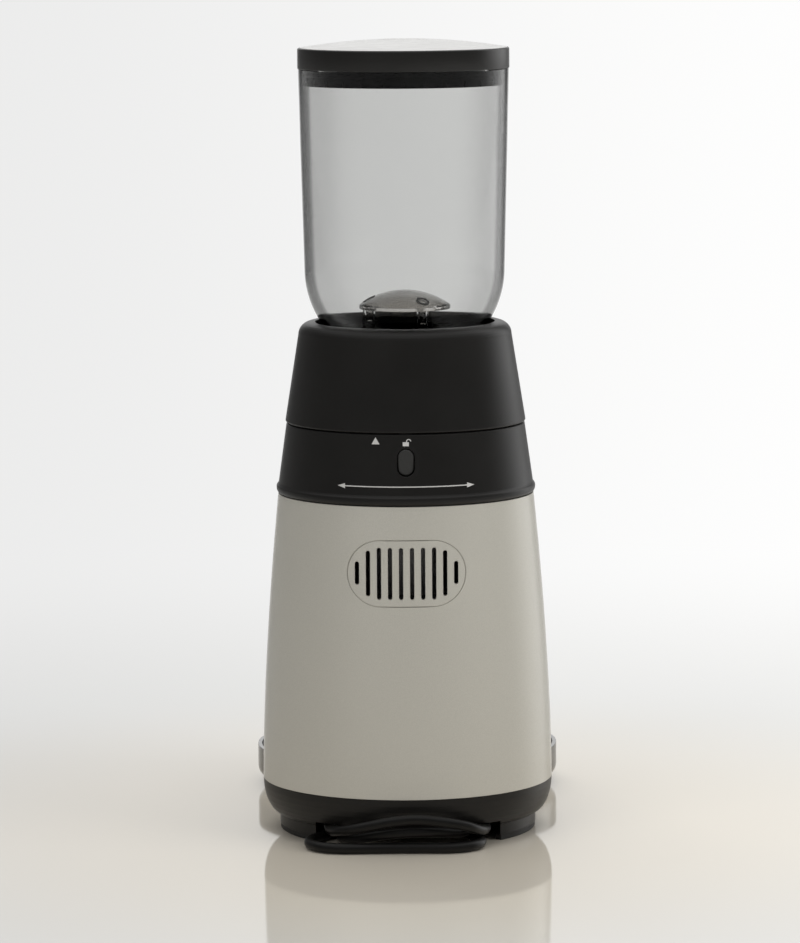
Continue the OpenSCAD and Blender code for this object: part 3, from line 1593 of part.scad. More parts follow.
module dish_plate() {
  tray_t = 2.5;
  tray_r = dish_r - dish_wall - plate_edge_gap;
  slots = 4;
  color(soft_black)
  difference() {
    union() {
      translate([0, -cup_y, plate_top - tray_t]) cylinder(r = tray_r, h = tray_t);
      for (r = plate_rings) translate([0, -cup_y, plate_foot_z])
        ring(r, r - plate_ring_w, plate_top - plate_foot_z - 1);
    }
    cylinder(r = body_clear + dish_wall + plate_edge_gap, h = plate_top + 1);
    // Slots that let spilt grounds through
    for (i = [-slots:slots])
      translate([i * plate_slot_pitch, -cup_y - plate_slot_l / 2, plate_top - tray_t - 1])
        translate([0, i % 2 == 0 ? -plate_slot_wave / 2 : plate_slot_wave / 2, 0])
          linear_extrude(tray_t + 2) stadium(plate_slot_w, plate_slot_l);
  }
}

module dish_feet() {
  color(soft_black)
  for (p = dish_foot_spots) translate([p[0], -cup_y - p[1], 0])
    cylinder(r = dish_foot_r, h = dish_z);
}

// ---------------------------------------------------------------- electrics

board_x = 42;
board_w = 40;
board_z = pan_top;
board_h = 56;
board_t = 1.6;
relay = [12, 18, 15];
terminal = [7, 10, 10];
terminal_lift = 6;
capacitor_r = 6;
capacitor_l = 12;

module circuit_board() {
  color([0.1, 0.35, 0.2])
  union() {
    translate([board_x, -board_w / 2, board_z]) cube([board_t, board_w, board_h]);
    translate([board_x + board_t, 4 - relay[1], board_z + board_h / 2 + 2]) cube(relay);
    translate([board_x + board_t, 4, board_z + terminal_lift]) cube(terminal);
  }
}

module capacitor() {
  color([0.2, 0.25, 0.5])
  translate([board_x + board_t, -capacitor_r - 2, board_z + 2 * capacitor_r])
    rotate([0, 90, 0]) cylinder(r = capacitor_r, h = capacitor_l);
}

// ---------------------------------------------------------------- every node

base_pan();
rubber_feet();
base_screws();
strain_relief();
power_cord();
power_plug();
body_shell();
vent_grille();
upper_housing();
lock_button();
lock_spring();
chassis_posts();
motor_can();
motor_end_cap();
motor_magnets();
motor_bushes();
motor_brushes();
motor_rotor();
motor_shaft();
motor_pinion();
cooling_fan();
gearbox_base();
gearbox_cover();
idler_pin();
compound_gear();
output_gear();
drive_shaft();
shaft_bearings();
chamber();
chamber_screws();
shaft_seal();
impeller();
cone_burr();
burr_nut();
ring_burr();
ring_burr_screws();
burr_carrier();
adjust_ring();
collar();
hopper();
bean_guard();
lid_skirt();
lid_plate();
lid_plug();
lid_seal();
front_head();
head_screws();
spout_chute();
timer_unit();
timer_knob();
start_switch();
start_button();
start_spring();
grounds_container();
container_lid();
front_dish();
dish_plate();
dish_feet();
circuit_board();
capacitor();
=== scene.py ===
"""Looks of an electric burr grinder with a clear bean hopper, seen in a plain pale studio."""

import logging
import math
from dataclasses import dataclass
from enum import Enum
from functools import cache
from typing import ClassVar, Iterable, Sequence

import bmesh
import bpy
from mathutils import Matrix, Vector


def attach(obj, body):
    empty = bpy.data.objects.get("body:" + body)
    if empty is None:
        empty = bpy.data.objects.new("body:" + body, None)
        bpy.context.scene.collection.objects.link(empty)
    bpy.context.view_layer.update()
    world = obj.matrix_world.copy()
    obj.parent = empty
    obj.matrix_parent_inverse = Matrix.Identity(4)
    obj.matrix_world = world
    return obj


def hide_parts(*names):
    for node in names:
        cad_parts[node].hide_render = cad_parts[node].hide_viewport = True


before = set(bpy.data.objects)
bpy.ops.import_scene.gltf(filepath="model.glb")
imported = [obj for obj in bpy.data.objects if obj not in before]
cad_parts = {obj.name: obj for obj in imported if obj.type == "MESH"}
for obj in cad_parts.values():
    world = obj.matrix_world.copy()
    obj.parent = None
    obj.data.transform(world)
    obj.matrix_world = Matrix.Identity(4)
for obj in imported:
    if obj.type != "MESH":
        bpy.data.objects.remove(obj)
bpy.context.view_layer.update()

LOG = logging.getLogger("grinder")
MM = 0.001
TURN = 2 * math.pi
Rgb = tuple[float, float, float]
Point = tuple[float, float, float]
Spot = tuple[float, float]
Socket = bpy.types.NodeSocket
Mesh = bmesh.types.BMesh
Number = "Field | float"


# ---- shader maths


class Field:
    """A number that varies over a surface; Python's operators add the Math nodes."""

    def __init__(self, shader: "Shader", socket: Socket) -> None:
        """Wraps an output socket of one shader's tree."""
        self.shader = shader
        self.socket = socket

    def _math(self, operation: str, *values: Number) -> "Field":
        """Adds one Math node.

        Args:
            operation: the Math node's operation.
            values: its inputs, fields or plain numbers.

        Returns:
            The node's result.
        """
        node = self.shader.node("ShaderNodeMath", {"operation": operation}, dict(enumerate(values)))
        return Field(self.shader, node.outputs[0])

    def __add__(self, other: Number) -> "Field":
        """This plus other."""
        return self._math("ADD", self, other)

    __radd__ = __add__

    def __sub__(self, other: Number) -> "Field":
        """This minus other."""
        return self._math("SUBTRACT", self, other)

    def __rsub__(self, other: float) -> "Field":
        """Other minus this."""
        return self._math("SUBTRACT", other, self)

    def __mul__(self, other: Number) -> "Field":
        """This times other."""
        return self._math("MULTIPLY", self, other)

    __rmul__ = __mul__

    def __truediv__(self, other: Number) -> "Field":
        """This over other."""
        return self._math("DIVIDE", self, other)

    def __pow__(self, other: Number) -> "Field":
        """This to the power of other."""
        return self._math("POWER", self, other)

    def sine(self) -> "Field":
        """The sine of this."""
        return self._math("SINE", self)

    def smallest(self, other: Number) -> "Field":
        """The smaller of the two."""
        return self._math("MINIMUM", self, other)

    def angle(self, other: "Field") -> "Field":
        """The angle whose tangent is this over other."""
        return self._math("ARCTAN2", self, other)

    def step(self, low: float, high: float) -> "Field":
        """A smooth step from 0 at low to 1 at high."""
        node = self.shader.node(
            "ShaderNodeMapRange",
            {"interpolation_type": "SMOOTHSTEP"},
            {"Value": self, "From Min": low, "From Max": high},
        )
        return Field(self.shader, node.outputs[0])


class Shader:
    """The node tree of one material or world."""

    def __init__(self, owner: bpy.types.Material | bpy.types.World) -> None:
        """Starts an empty tree in its owner."""
        owner.use_nodes = True
        self.tree = owner.node_tree
        self.tree.nodes.clear()

    def node(self, kind: str, settings: dict | None = None, sockets: dict | None = None) -> bpy.types.Node:
        """Adds a node of any kind.

        Args:
            kind: the node's type name.
            settings: its properties, set before its sockets.
            sockets: values or links of its inputs, by name or number.

        Returns:
            The new node.
        """
        made = self.tree.nodes.new(kind)
        for key, value in (settings or {}).items():
            setattr(made, key, value)
        for key, value in (sockets or {}).items():
            self._feed(made.inputs[key], value)
        return made

    def _feed(self, socket: Socket, value: object) -> None:
        """Links a field or socket to an input, or writes a plain value there."""
        if isinstance(value, Field):
            value = value.socket
        if isinstance(value, Socket):
            self.tree.links.new(value, socket)
        elif socket.type == "RGBA":
            socket.default_value = (*value, 1.0)
        else:
            socket.default_value = value

    def place(self, stretch: Point = (1, 1, 1), middle: Point = (0, 0, 0)) -> Socket:
        """Object coordinates, moved so that middle is at 0 and stretched.

        Args:
            stretch: factor along each axis.
            middle: point that becomes the origin, in metres.

        Returns:
            The vector socket.
        """
        coordinates = self.node("ShaderNodeTexCoord").outputs["Object"]
        back = tuple(-m * s for m, s in zip(middle, stretch))
        sockets = {"Vector": coordinates, "Location": back, "Scale": stretch}
        return self.node("ShaderNodeMapping", None, sockets).outputs[0]

    def parts(self, vector: Socket) -> tuple[Field, Field, Field]:
        """The three numbers of a vector."""
        split = self.node("ShaderNodeSeparateXYZ", None, {0: vector})
        return tuple(Field(self, split.outputs[i]) for i in range(3))

    def ray(self, kind: str) -> Field:
        """1 for rays of that kind, such as Camera, else 0."""
        return Field(self, self.node("ShaderNodeLightPath").outputs[f"Is {kind} Ray"])

    def noise(self, size: float, vector: Socket | None = None, detail: float = 2.0) -> Field:
        """Soft noise whose features are about size metres wide."""
        sockets = {"Vector": vector or self.place(), "Scale": 1 / size, "Detail": detail}
        return Field(self, self.node("ShaderNodeTexNoise", None, sockets).outputs[0])

    def cells(self, size: float) -> Field:
        """Distance to the middle of the nearest of many cells of about size metres."""
        node = self.node("ShaderNodeTexVoronoi", None, {"Vector": self.place(), "Scale": 1 / size})
        return Field(self, node.outputs["Distance"])

    def blend(self, factor: Field | float, low: Socket | Rgb, high: Socket | Rgb) -> Socket:
        """A colour between low and high."""
        mixed = self.node("ShaderNodeMix", {"data_type": "RGBA"}, {0: factor, 6: low, 7: high})
        return mixed.outputs[2]

    def relief(self, height: Field, depth: float, normal: Socket | None = None) -> Socket:
        """A bump of that depth in metres, on top of another normal."""
        sockets = {"Height": height, "Distance": depth, "Strength": 1.0}
        if normal is not None:
            sockets["Normal"] = normal
        return self.node("ShaderNodeBump", None, sockets).outputs[0]

    def soft_edges(self, radius: float) -> tuple[Socket, Field]:
        """Rounds every edge in shading.

        Args:
            radius: the rounding in metres.

        Returns:
            The rounded normal, and a field that is 0 on faces and rises along edges.
        """
        rounded = self.node("ShaderNodeBevel", {"samples": 6}, {"Radius": radius}).outputs[0]
        flat = self.node("ShaderNodeNewGeometry").outputs["Normal"]
        dot = self.node("ShaderNodeVectorMath", {"operation": "DOT_PRODUCT"}, {0: rounded, 1: flat})
        return rounded, (1 - Field(self, dot.outputs["Value"])).step(0.01, 0.2)

    def principled(self, colour: object, rough: object, normal: Socket | None, more: dict) -> Socket:
        """A Principled shader.

        Args:
            colour: its base colour.
            rough: its roughness.
            normal: its normal, or None for the face's own.
            more: its other sockets, by name.

        Returns:
            The shader socket.
        """
        sockets = {"Base Color": colour, "Roughness": rough, **more}
        if normal is not None:
            sockets["Normal"] = normal
        return self.node("ShaderNodeBsdfPrincipled", None, sockets).outputs[0]

    def mix(self, factor: Field, first: Socket, second: Socket) -> Socket:
        """A shader between two others."""
        return self.node("ShaderNodeMixShader", None, {0: factor, 1: first, 2: second}).outputs[0]

    def end(self, shader: Socket, kind: str = "ShaderNodeOutputMaterial") -> None:
        """Ends the tree in that shader."""
        self.tree.links.new(shader, self.node(kind).inputs[0])


# ---- finishes


def shade(colour: Rgb, factor: float, lift: float = 0.0) -> Rgb:
    """A colour times a factor plus a lift, at most 1."""
    return tuple(min(1.0, c * factor + lift) for c in colour)


@dataclass(frozen=True)
class Finish:
    """A procedural material."""

    name: str

    def make(self) -> bpy.types.Material:
        """The material, with its nodes."""
        material = bpy.data.materials.new(self.name)
        s = Shader(material)
        s.end(self.paint(s))
        return material

    def paint(self, s: Shader) -> Socket:
        """Fills a tree and returns its shader; each kind of finish has its own."""
        raise NotImplementedError(self.name)


@dataclass(frozen=True)
class Moulded(Finish):
    """Moulded plastic with a spark-eroded grain, edges polished by handling and a little dust."""

    colour: Rgb
    roughness: float = 0.42
    grain: float = 0.0005
    grain_depth: float = 0.00002
    edge_lift: float = 1.6
    specular: float = 0.5

    def paint(self, s: Shader) -> Socket:
        """The plastic's shader."""
        normal, worn = s.soft_edges(0.0005)
        fine = s.noise(self.grain, detail=3.0)
        cloudy = s.noise(0.03, detail=3.0)
        colour = s.blend(cloudy.step(0.3, 0.7), shade(self.colour, 0.86), self.colour)
        polish = worn * (0.35 + 0.5 * s.noise(0.006))
        colour = s.blend(polish, colour, shade(self.colour, self.edge_lift, 0.004))
        rough = self.roughness + 0.10 * (cloudy - 0.5) + 0.05 * (fine - 0.5) - 0.10 * worn
        normal = s.relief(fine, self.grain_depth, normal)
        return s.principled(colour, rough, normal, {"Specular IOR Level": self.specular})


@dataclass(frozen=True)
class SatinLacquer(Finish):
    """Silk-matt metallic lacquer: fine flake in a warm grey coat."""

    colour: Rgb
    roughness: float = 0.42
    metallic: float = 0.55
    flake: float = 0.00035

    def paint(self, s: Shader) -> Socket:
        """The lacquer's shader."""
        normal, worn = s.soft_edges(0.0004)
        flake = s.cells(self.flake)
        cloudy = s.noise(0.06, detail=2.0)
        peel = s.noise(0.0022, detail=1.0)
        colour = s.blend(flake.step(0.15, 0.65), shade(self.colour, 1.05), shade(self.colour, 0.93))
        colour = s.blend(0.35 * cloudy.step(0.3, 0.7), colour, self.colour)
        colour = s.blend(0.3 * worn, colour, shade(self.colour, 1.15))
        rough = self.roughness + 0.08 * (flake - 0.3) + 0.06 * (cloudy - 0.5)
        coat = {"Metallic": self.metallic, "Coat Weight": 0.5, "Coat Roughness": 0.14}
        return s.principled(colour, rough, s.relief(peel, 0.000012, normal), coat)


@dataclass(frozen=True)
class ClearMoulding(Finish):
    """Clear moulded plastic with a smoky tint and a dark rim where the wall is seen edge on: partly the
    deeper tint of the longer path through the wall, partly painted shade in place of the dark surroundings
    seen through and mirrored in the edges.

    The rim's tint grows to the share slant over one range of facing values, and to the share
    edge over the next.
    """

    tint: Rgb
    rim: Rgb
    slant: float = 0.12
    edge: float = 0.95
    slant_range: Spot = (0.10, 0.50)
    edge_range: Spot = (0.60, 0.745)
    roughness: float = 0.02

    def paint(self, s: Shader) -> Socket:
        """The plastic's shader."""
        facing = Field(s, s.node("ShaderNodeLayerWeight", None, {"Blend": 0.5}).outputs["Facing"])
        # Partly painted shade: the dark rim colour is mixed in by how edge on the wall is seen, as well as
        # standing for the longer path through it
        edge_on = self.slant * facing.step(*self.slant_range)
        edge_on = edge_on + (self.edge - self.slant) * facing.step(*self.edge_range)
        flow = s.noise(0.02, s.place((1, 1, 0.25)), detail=1.0)
        hair = s.noise(0.0006, s.place((1, 1, 0.05)), detail=2.0)
        rough = self.roughness + 0.02 * flow.step(0.45, 0.7) + 0.03 * hair.step(0.66, 0.8)
        normal = s.relief(flow, 0.00006)
        clear = {"IOR": 1.49, "Specular Tint": (0.3, 0.3, 0.3), "Transmission Weight": 1.0}
        shells = [s.principled(colour, rough, normal, clear) for colour in (self.tint, self.rim)]
        return s.mix(edge_on, *shells)


class Brushing(Enum):
    """Which way the fine lines of a metal run."""

    ROUND = "rings about an upright axis"
    BLASTED = "no direction"


@dataclass(frozen=True)
class Metal(Finish):
    """Bare metal with fine tool marks, darker in its scratches."""

    colour: Rgb
    roughness: float = 0.3
    brushing: Brushing = Brushing.BLASTED
    middle: Point = (0, 0, 0)
    line: float = 0.0004
    depth: float = 0.000006

    def paint(self, s: Shader) -> Socket:
        """The metal's shader."""
        normal, worn = s.soft_edges(0.0003)
        lines = None
        if self.brushing is Brushing.ROUND:
            x, y, z = s.parts(s.place(middle=self.middle))
            radius = (x * x + y * y) ** 0.5
            rings = {0: radius, 1: z, 2: y.angle(x) * 0.002}
            lines = s.node("ShaderNodeCombineXYZ", None, rings).outputs[0]
        marks = s.noise(self.line, lines, detail=3.0)
        stain = s.noise(0.018, detail=3.0)
        colour = s.blend(marks.step(0.25, 0.75), shade(self.colour, 0.72), self.colour)
        colour = s.blend(0.6 * worn, colour, shade(self.colour, 1.12, 0.02))
        rough = self.roughness + 0.16 * (marks - 0.5) + 0.12 * (stain - 0.5)
        return s.principled(colour, rough, s.relief(marks, self.depth, normal), {"Metallic": 1.0})


@dataclass(frozen=True)
class Rubber(Finish):
    """Soft matt rubber or vinyl with a faint bloom."""

    colour: Rgb
    roughness: float = 0.62
    bloom: float = 0.35
    specular: float = 0.5

    def paint(self, s: Shader) -> Socket:
        """The rubber's shader."""
        normal, worn = s.soft_edges(0.0004)
        grain = s.noise(0.0006, detail=3.0)
        haze = s.noise(0.012, detail=4.0).step(0.45, 0.8)
        colour = s.blend(self.bloom * haze + 0.3 * worn, self.colour, shade(self.colour, 1.7, 0.006))
        rough = self.roughness + 0.12 * (haze - 0.3) - 0.08 * worn
        normal = s.relief(grain, 0.00003, normal)
        return s.principled(colour, rough, normal, {"Specular IOR Level": self.specular})


@dataclass(frozen=True)
class Laminated(Finish):
    """Stacked sheets and wound wire of a motor's rotor."""

    sheet: Rgb
    copper: Rgb
    core_radius: float
    sheet_pitch: float = 0.0007

    def paint(self, s: Shader) -> Socket:
        """The rotor's shader."""
        x, y, z = s.parts(s.place())
        radius = (x * x + y * y) ** 0.5
        stack = (z * (TURN / self.sheet_pitch)).sine()
        outside = radius.step(self.core_radius - 0.0012, self.core_radius - 0.0004)
        wire = (y.angle(x) * 120 + z * 900).sine()
        metal = s.blend(stack.step(-0.3, 0.5), shade(self.sheet, 0.5), self.sheet)
        coil = s.blend(wire.step(-0.4, 0.4), shade(self.copper, 0.55), self.copper)
        normal = s.relief(stack * outside + wire * (1 - outside), 0.00006)
        colour = s.blend(outside, coil, metal)
        return s.principled(colour, 0.34 + 0.2 * outside, normal, {"Metallic": 0.6})


@dataclass(frozen=True)
class SolderResist(Finish):
    """Circuit board: solder resist over copper tracks, with bare pads."""

    resist: Rgb
    copper: Rgb

    def paint(self, s: Shader) -> Socket:
        """The board's shader."""
        x, y, z = s.parts(s.place())
        lanes = (z * (TURN / 0.005)).sine() + 0.6 * (y * (TURN / 0.021)).sine()
        crossings = (y * (TURN / 0.007)).sine() + 0.7 * (z * (TURN / 0.017)).sine()
        tracks = lanes.step(0.75, 0.85)
        pads = s.cells(0.0045).step(0.16, 0.12) * crossings.step(0.4, 0.5)
        colour = s.blend(pads, s.blend(tracks, self.resist, shade(self.resist, 1.6)), self.copper)
        rough = 0.3 + 0.12 * s.noise(0.003)
        return s.principled(colour, rough, s.relief(tracks + pads, 0.00004), {"Metallic": 0.8 * pads})


@dataclass(frozen=True)
class Ink(Finish):
    """Thin pad-printed ink."""

    colour: Rgb

    def paint(self, s: Shader) -> Socket:
        """The ink's shader."""
        coverage = s.noise(0.0004, detail=3.0).step(0.25, 0.5)
        colour = s.blend(coverage, shade(self.colour, 0.8), self.colour)
        return s.principled(colour, 0.55 - 0.1 * coverage, s.relief(coverage, 0.000008), {})


DISH_MIDDLE: Point = (0, -0.115, 0)
ROTOR_CORE = 0.0238
ROUND = Brushing.ROUND
FINISHES = {
    finish.name: finish
    for finish in (
        Moulded("black_plastic", (0.0092, 0.0086, 0.0078), roughness=0.38, specular=0.3),
        Moulded("lid_plastic", (0.0098, 0.0090, 0.0080), roughness=0.32),
        Moulded("button_grey", (0.026, 0.0255, 0.024), roughness=0.46, grain=0.0004),
        Moulded("grey_plastic", (0.06, 0.06, 0.058), roughness=0.5),
        Moulded("gear_nylon", (0.66, 0.63, 0.54), roughness=0.45, edge_lift=1.1),
        Moulded("magnet", (0.03, 0.03, 0.034), roughness=0.55, grain=0.0003),
        Moulded("part_blue", (0.02, 0.05, 0.22), roughness=0.3),
        Moulded("plug_black", (0.003, 0.0028, 0.0026), 0.7, grain_depth=0.0, edge_lift=1.0, specular=0.02),
        Moulded("stake_smoke", (0.05, 0.048, 0.045), roughness=0.3, edge_lift=1.0),
        Rubber("soft_black", (0.010, 0.0098, 0.0092)),
        Rubber("cord_sheath", (0.005, 0.0047, 0.0043), roughness=0.4, bloom=0.15, specular=0.22),
        SatinLacquer("silver_paint", (0.52, 0.50, 0.44), metallic=0.25),
        ClearMoulding("smoke_clear", (0.773, 0.776, 0.77), (0.02, 0.02, 0.02)),
        ClearMoulding("guard_clear", (0.62, 0.60, 0.575), (0.42, 0.41, 0.39), slant=0.45, edge=1.0),
        Metal("lid_silver", (0.95, 0.945, 0.925), roughness=0.36, brushing=ROUND),
        Metal("dish_steel", (0.31, 0.31, 0.30), roughness=0.24, brushing=ROUND, middle=DISH_MIDDLE),
        Metal("steel", (0.56, 0.56, 0.55), roughness=0.26, brushing=ROUND),
        Metal("zinc_steel", (0.60, 0.60, 0.62), roughness=0.32),
        Metal("bronze", (0.52, 0.36, 0.15), roughness=0.4),
        Metal("die_cast", (0.42, 0.42, 0.43), roughness=0.5, line=0.0008, depth=0.00004),
        Metal("burr_steel", (0.33, 0.33, 0.34), roughness=0.36, line=0.0003),
        Laminated("winding", (0.32, 0.32, 0.33), (0.52, 0.22, 0.08), ROTOR_CORE),
        SolderResist("board_green", (0.008, 0.085, 0.035), (0.55, 0.35, 0.16)),
        Ink("print_white", (0.52, 0.51, 0.49)),
    )
}


@cache
def finish_of(name: str) -> bpy.types.Material:
    """The material of a finish, made when it is first asked for."""
    return FINISHES[name].make()


# ---- pieces and meshes


def linked(name: str, data: bpy.types.ID) -> bpy.types.Object:
    """A new object of that data in the scene."""
    thing = bpy.data.objects.new(name, data)
    bpy.context.scene.collection.objects.link(thing)
    return thing


def ridden(
    name: str, data: bpy.types.ID, finish: str, body: str, stands_for: Sequence[str]
) -> bpy.types.Object:
    """A finished piece of a mesh or a curve; the rest is as for put()."""
    data.materials.append(finish_of(finish))
    piece = linked(name, data)
    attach(piece, body)
    if stands_for:
        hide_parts(*stands_for)
    LOG.info("%s: rides on %s", name, body)
    return piece


def put(
    name: str,
    mesh: Mesh,
    finish: str,
    body: str,
    stands_for: Sequence[str] = (),
    smooth_below: float = 32.0,
    oriented: bool = False,
) -> bpy.types.Object:
    """Makes a finished piece out of a bmesh.

    Args:
        name: the piece's name.
        mesh: its mesh, which is used up.
        finish: name of its finish.
        body: CAD body that it rides on.
        stands_for: CAD nodes that it replaces.
        smooth_below: faces that meet at less than this angle are shaded as one, in degrees.
        oriented: True if the faces look the right way already.

    Returns:
        The new object.
    """
    if not oriented:
        bmesh.ops.recalc_face_normals(mesh, faces=mesh.faces)
    data = bpy.data.meshes.new(name)
    mesh.to_mesh(data)
    mesh.free()
    data.shade_smooth()
    data.set_sharp_from_angle(angle=math.radians(smooth_below))
    return ridden(name, data, finish, body, stands_for)


def shift(x: float = 0.0, y: float = 0.0, z: float = 0.0) -> Matrix:
    """A move by millimetres."""
    return Matrix.Translation((x * MM, y * MM, z * MM))


def turned(degrees: float, axis: str = "Z") -> Matrix:
    """A turn by degrees about an axis."""
    return Matrix.Rotation(math.radians(degrees), 4, axis)


def moved(mesh: Mesh, matrix: Matrix) -> Mesh:
    """The same mesh, with every vertex taken through a matrix."""
    bmesh.ops.transform(mesh, matrix=matrix, verts=mesh.verts)
    return mesh


def facing_rear(y: float, z: float) -> Matrix:
    """Stands a plate's +Z along +Y, with its middle at that place in millimetres."""
    return shift(y=y, z=z) @ turned(-90, "X") @ Matrix.Scale(-1, 4, (0, 1, 0))


def facing_front(y: float, z: float) -> Matrix:
    """Stands a plate's +Z along -Y, with its middle at that place in millimetres."""
    return shift(y=y, z=z) @ turned(90, "X")


def spun(profile: Sequence[Spot], steps: int = 128) -> Mesh:
    """Turns a closed section about the Z axis.

    Args:
        profile: (radius, height) of the section's corners, in millimetres.
        steps: faces round the turn.

    Returns:
        The turned mesh, with its doubles merged.
    """
    mesh = bmesh.new()
    corners = [mesh.verts.new((r * MM, 0, z * MM)) for r, z in profile]
    closing = corners if profile[0][0] == 0 and profile[-1][0] == 0 else corners + corners[:1]
    edges = [mesh.edges.new(pair) for pair in zip(closing, closing[1:])]
    bmesh.ops.spin(
        mesh, geom=corners + edges, cent=(0, 0, 0), axis=(0, 0, 1), angle=TURN, steps=steps, use_merge=True
    )
    bmesh.ops.remove_doubles(mesh, verts=mesh.verts, dist=1e-6)
    return mesh


def corner(centre: Spot, radius: float, start: float, end: float, steps: int = 6) -> list[Spot]:
    """Points of a rounded corner of a section, between two angles in degrees."""
    angles = [math.radians(start + (end - start) * i / steps) for i in range(steps + 1)]
    return [(centre[0] + radius * math.cos(a), centre[1] + radius * math.sin(a)) for a in angles]


def cap(radius: float, rise: float, at: float) -> float:
    """Height of a ball's cap over the plane of its rim.

    Args:
        radius: radius of the cap's rim.
        rise: height of the cap's middle.
        at: distance from the axis at which the height is wanted.

    Returns:
        The height there.
    """
    ball = (radius**2 + rise**2) / (2 * rise)
    return math.sqrt(ball**2 - at**2) - ball + rise


def plate(outline: Iterable[Spot], thickness: float) -> Mesh:
    """A flat plate of an outline in millimetres, from z = 0 up.

    Args:
        outline: the outline's corners.
        thickness: its height in millimetres.

    Returns:
        The plate.
    """
    mesh = bmesh.new()
    face = mesh.faces.new([mesh.verts.new((x * MM, y * MM, 0)) for x, y in outline])
    grown = bmesh.ops.extrude_face_region(mesh, geom=[face])
    top = [g for g in grown["geom"] if isinstance(g, bmesh.types.BMVert)]
    bmesh.ops.translate(mesh, vec=(0, 0, thickness * MM), verts=top)
    return mesh


def round_edges(mesh: Mesh, width: float, segments: int = 3, sharper: float = 40.0) -> Mesh:
    """Bevels the edges at which faces meet at more than an angle.

    Args:
        mesh: the mesh to work on.
        width: the bevel's width in millimetres.
        segments: its segments.
        sharper: the angle in degrees.

    Returns:
        The same mesh.
    """
    bmesh.ops.recalc_face_normals(mesh, faces=mesh.faces)
    limit = math.radians(sharper)
    bmesh.ops.bevel(
        mesh,
        geom=[e for e in mesh.edges if len(e.link_faces) == 2 and e.calc_face_angle() > limit],
        offset=width * MM,
        offset_type="OFFSET",
        segments=segments,
        profile=0.5,
        affect="EDGES",
        material=-1,
        clamp_overlap=True,
    )
    return mesh


def stadium(width: float, height: float, steps: int = 20) -> list[Spot]:
    """Outline of an upright slot with round ends, in millimetres."""
    radius, reach = width / 2, (height - width) / 2
    return corner((0, reach), radius, 0, 180, steps) + corner((0, -reach), radius, 180, 360, steps)


def rounded_box(width: float, depth: float, radius: float, steps: int = 8) -> list[Spot]:
    """Outline of a rectangle with round corners, in millimetres."""
    x, y = width / 2 - radius, depth / 2 - radius
    spots = ((x, y, 0), (-x, y, 90), (-x, -y, 180), (x, -y, 270))
    return [p for sx, sy, a in spots for p in corner((sx, sy), radius, a, a + 90, steps)]


def joined(*meshes: Mesh) -> Mesh:
    """One mesh out of several, which are used up."""
    whole = bmesh.new()
    for mesh in meshes:
        data = bpy.data.meshes.new("part")
        mesh.to_mesh(data)
        mesh.free()
        whole.from_mesh(data)
        bpy.data.meshes.remove(data)
    return whole


def hollowed(outer: Mesh, inner: Mesh) -> Mesh:
    """A closed mesh with a closed cavity, whose faces look into the cavity."""
    for mesh in (outer, inner):
        bmesh.ops.recalc_face_normals(mesh, faces=mesh.faces)
    bmesh.ops.reverse_faces(inner, faces=inner.faces)
    return joined(outer, inner)


class Assembly:
    """Pieces that are built and dressed together; finishes names CAD nodes by their finish."""

    finishes: ClassVar[dict[str, str]] = {}

    def build(self) -> None:
        """Builds new pieces; an assembly of CAD nodes alone has none."""

    def dress(self) -> None:
        """Gives the assembly's CAD nodes their finishes."""
        for finish, nodes in self.finishes.items():
            for node in nodes.split():
                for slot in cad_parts[node].material_slots:
                    slot.material = finish_of(finish)
                LOG.info("%s: %s", node, finish)


# ---- studio


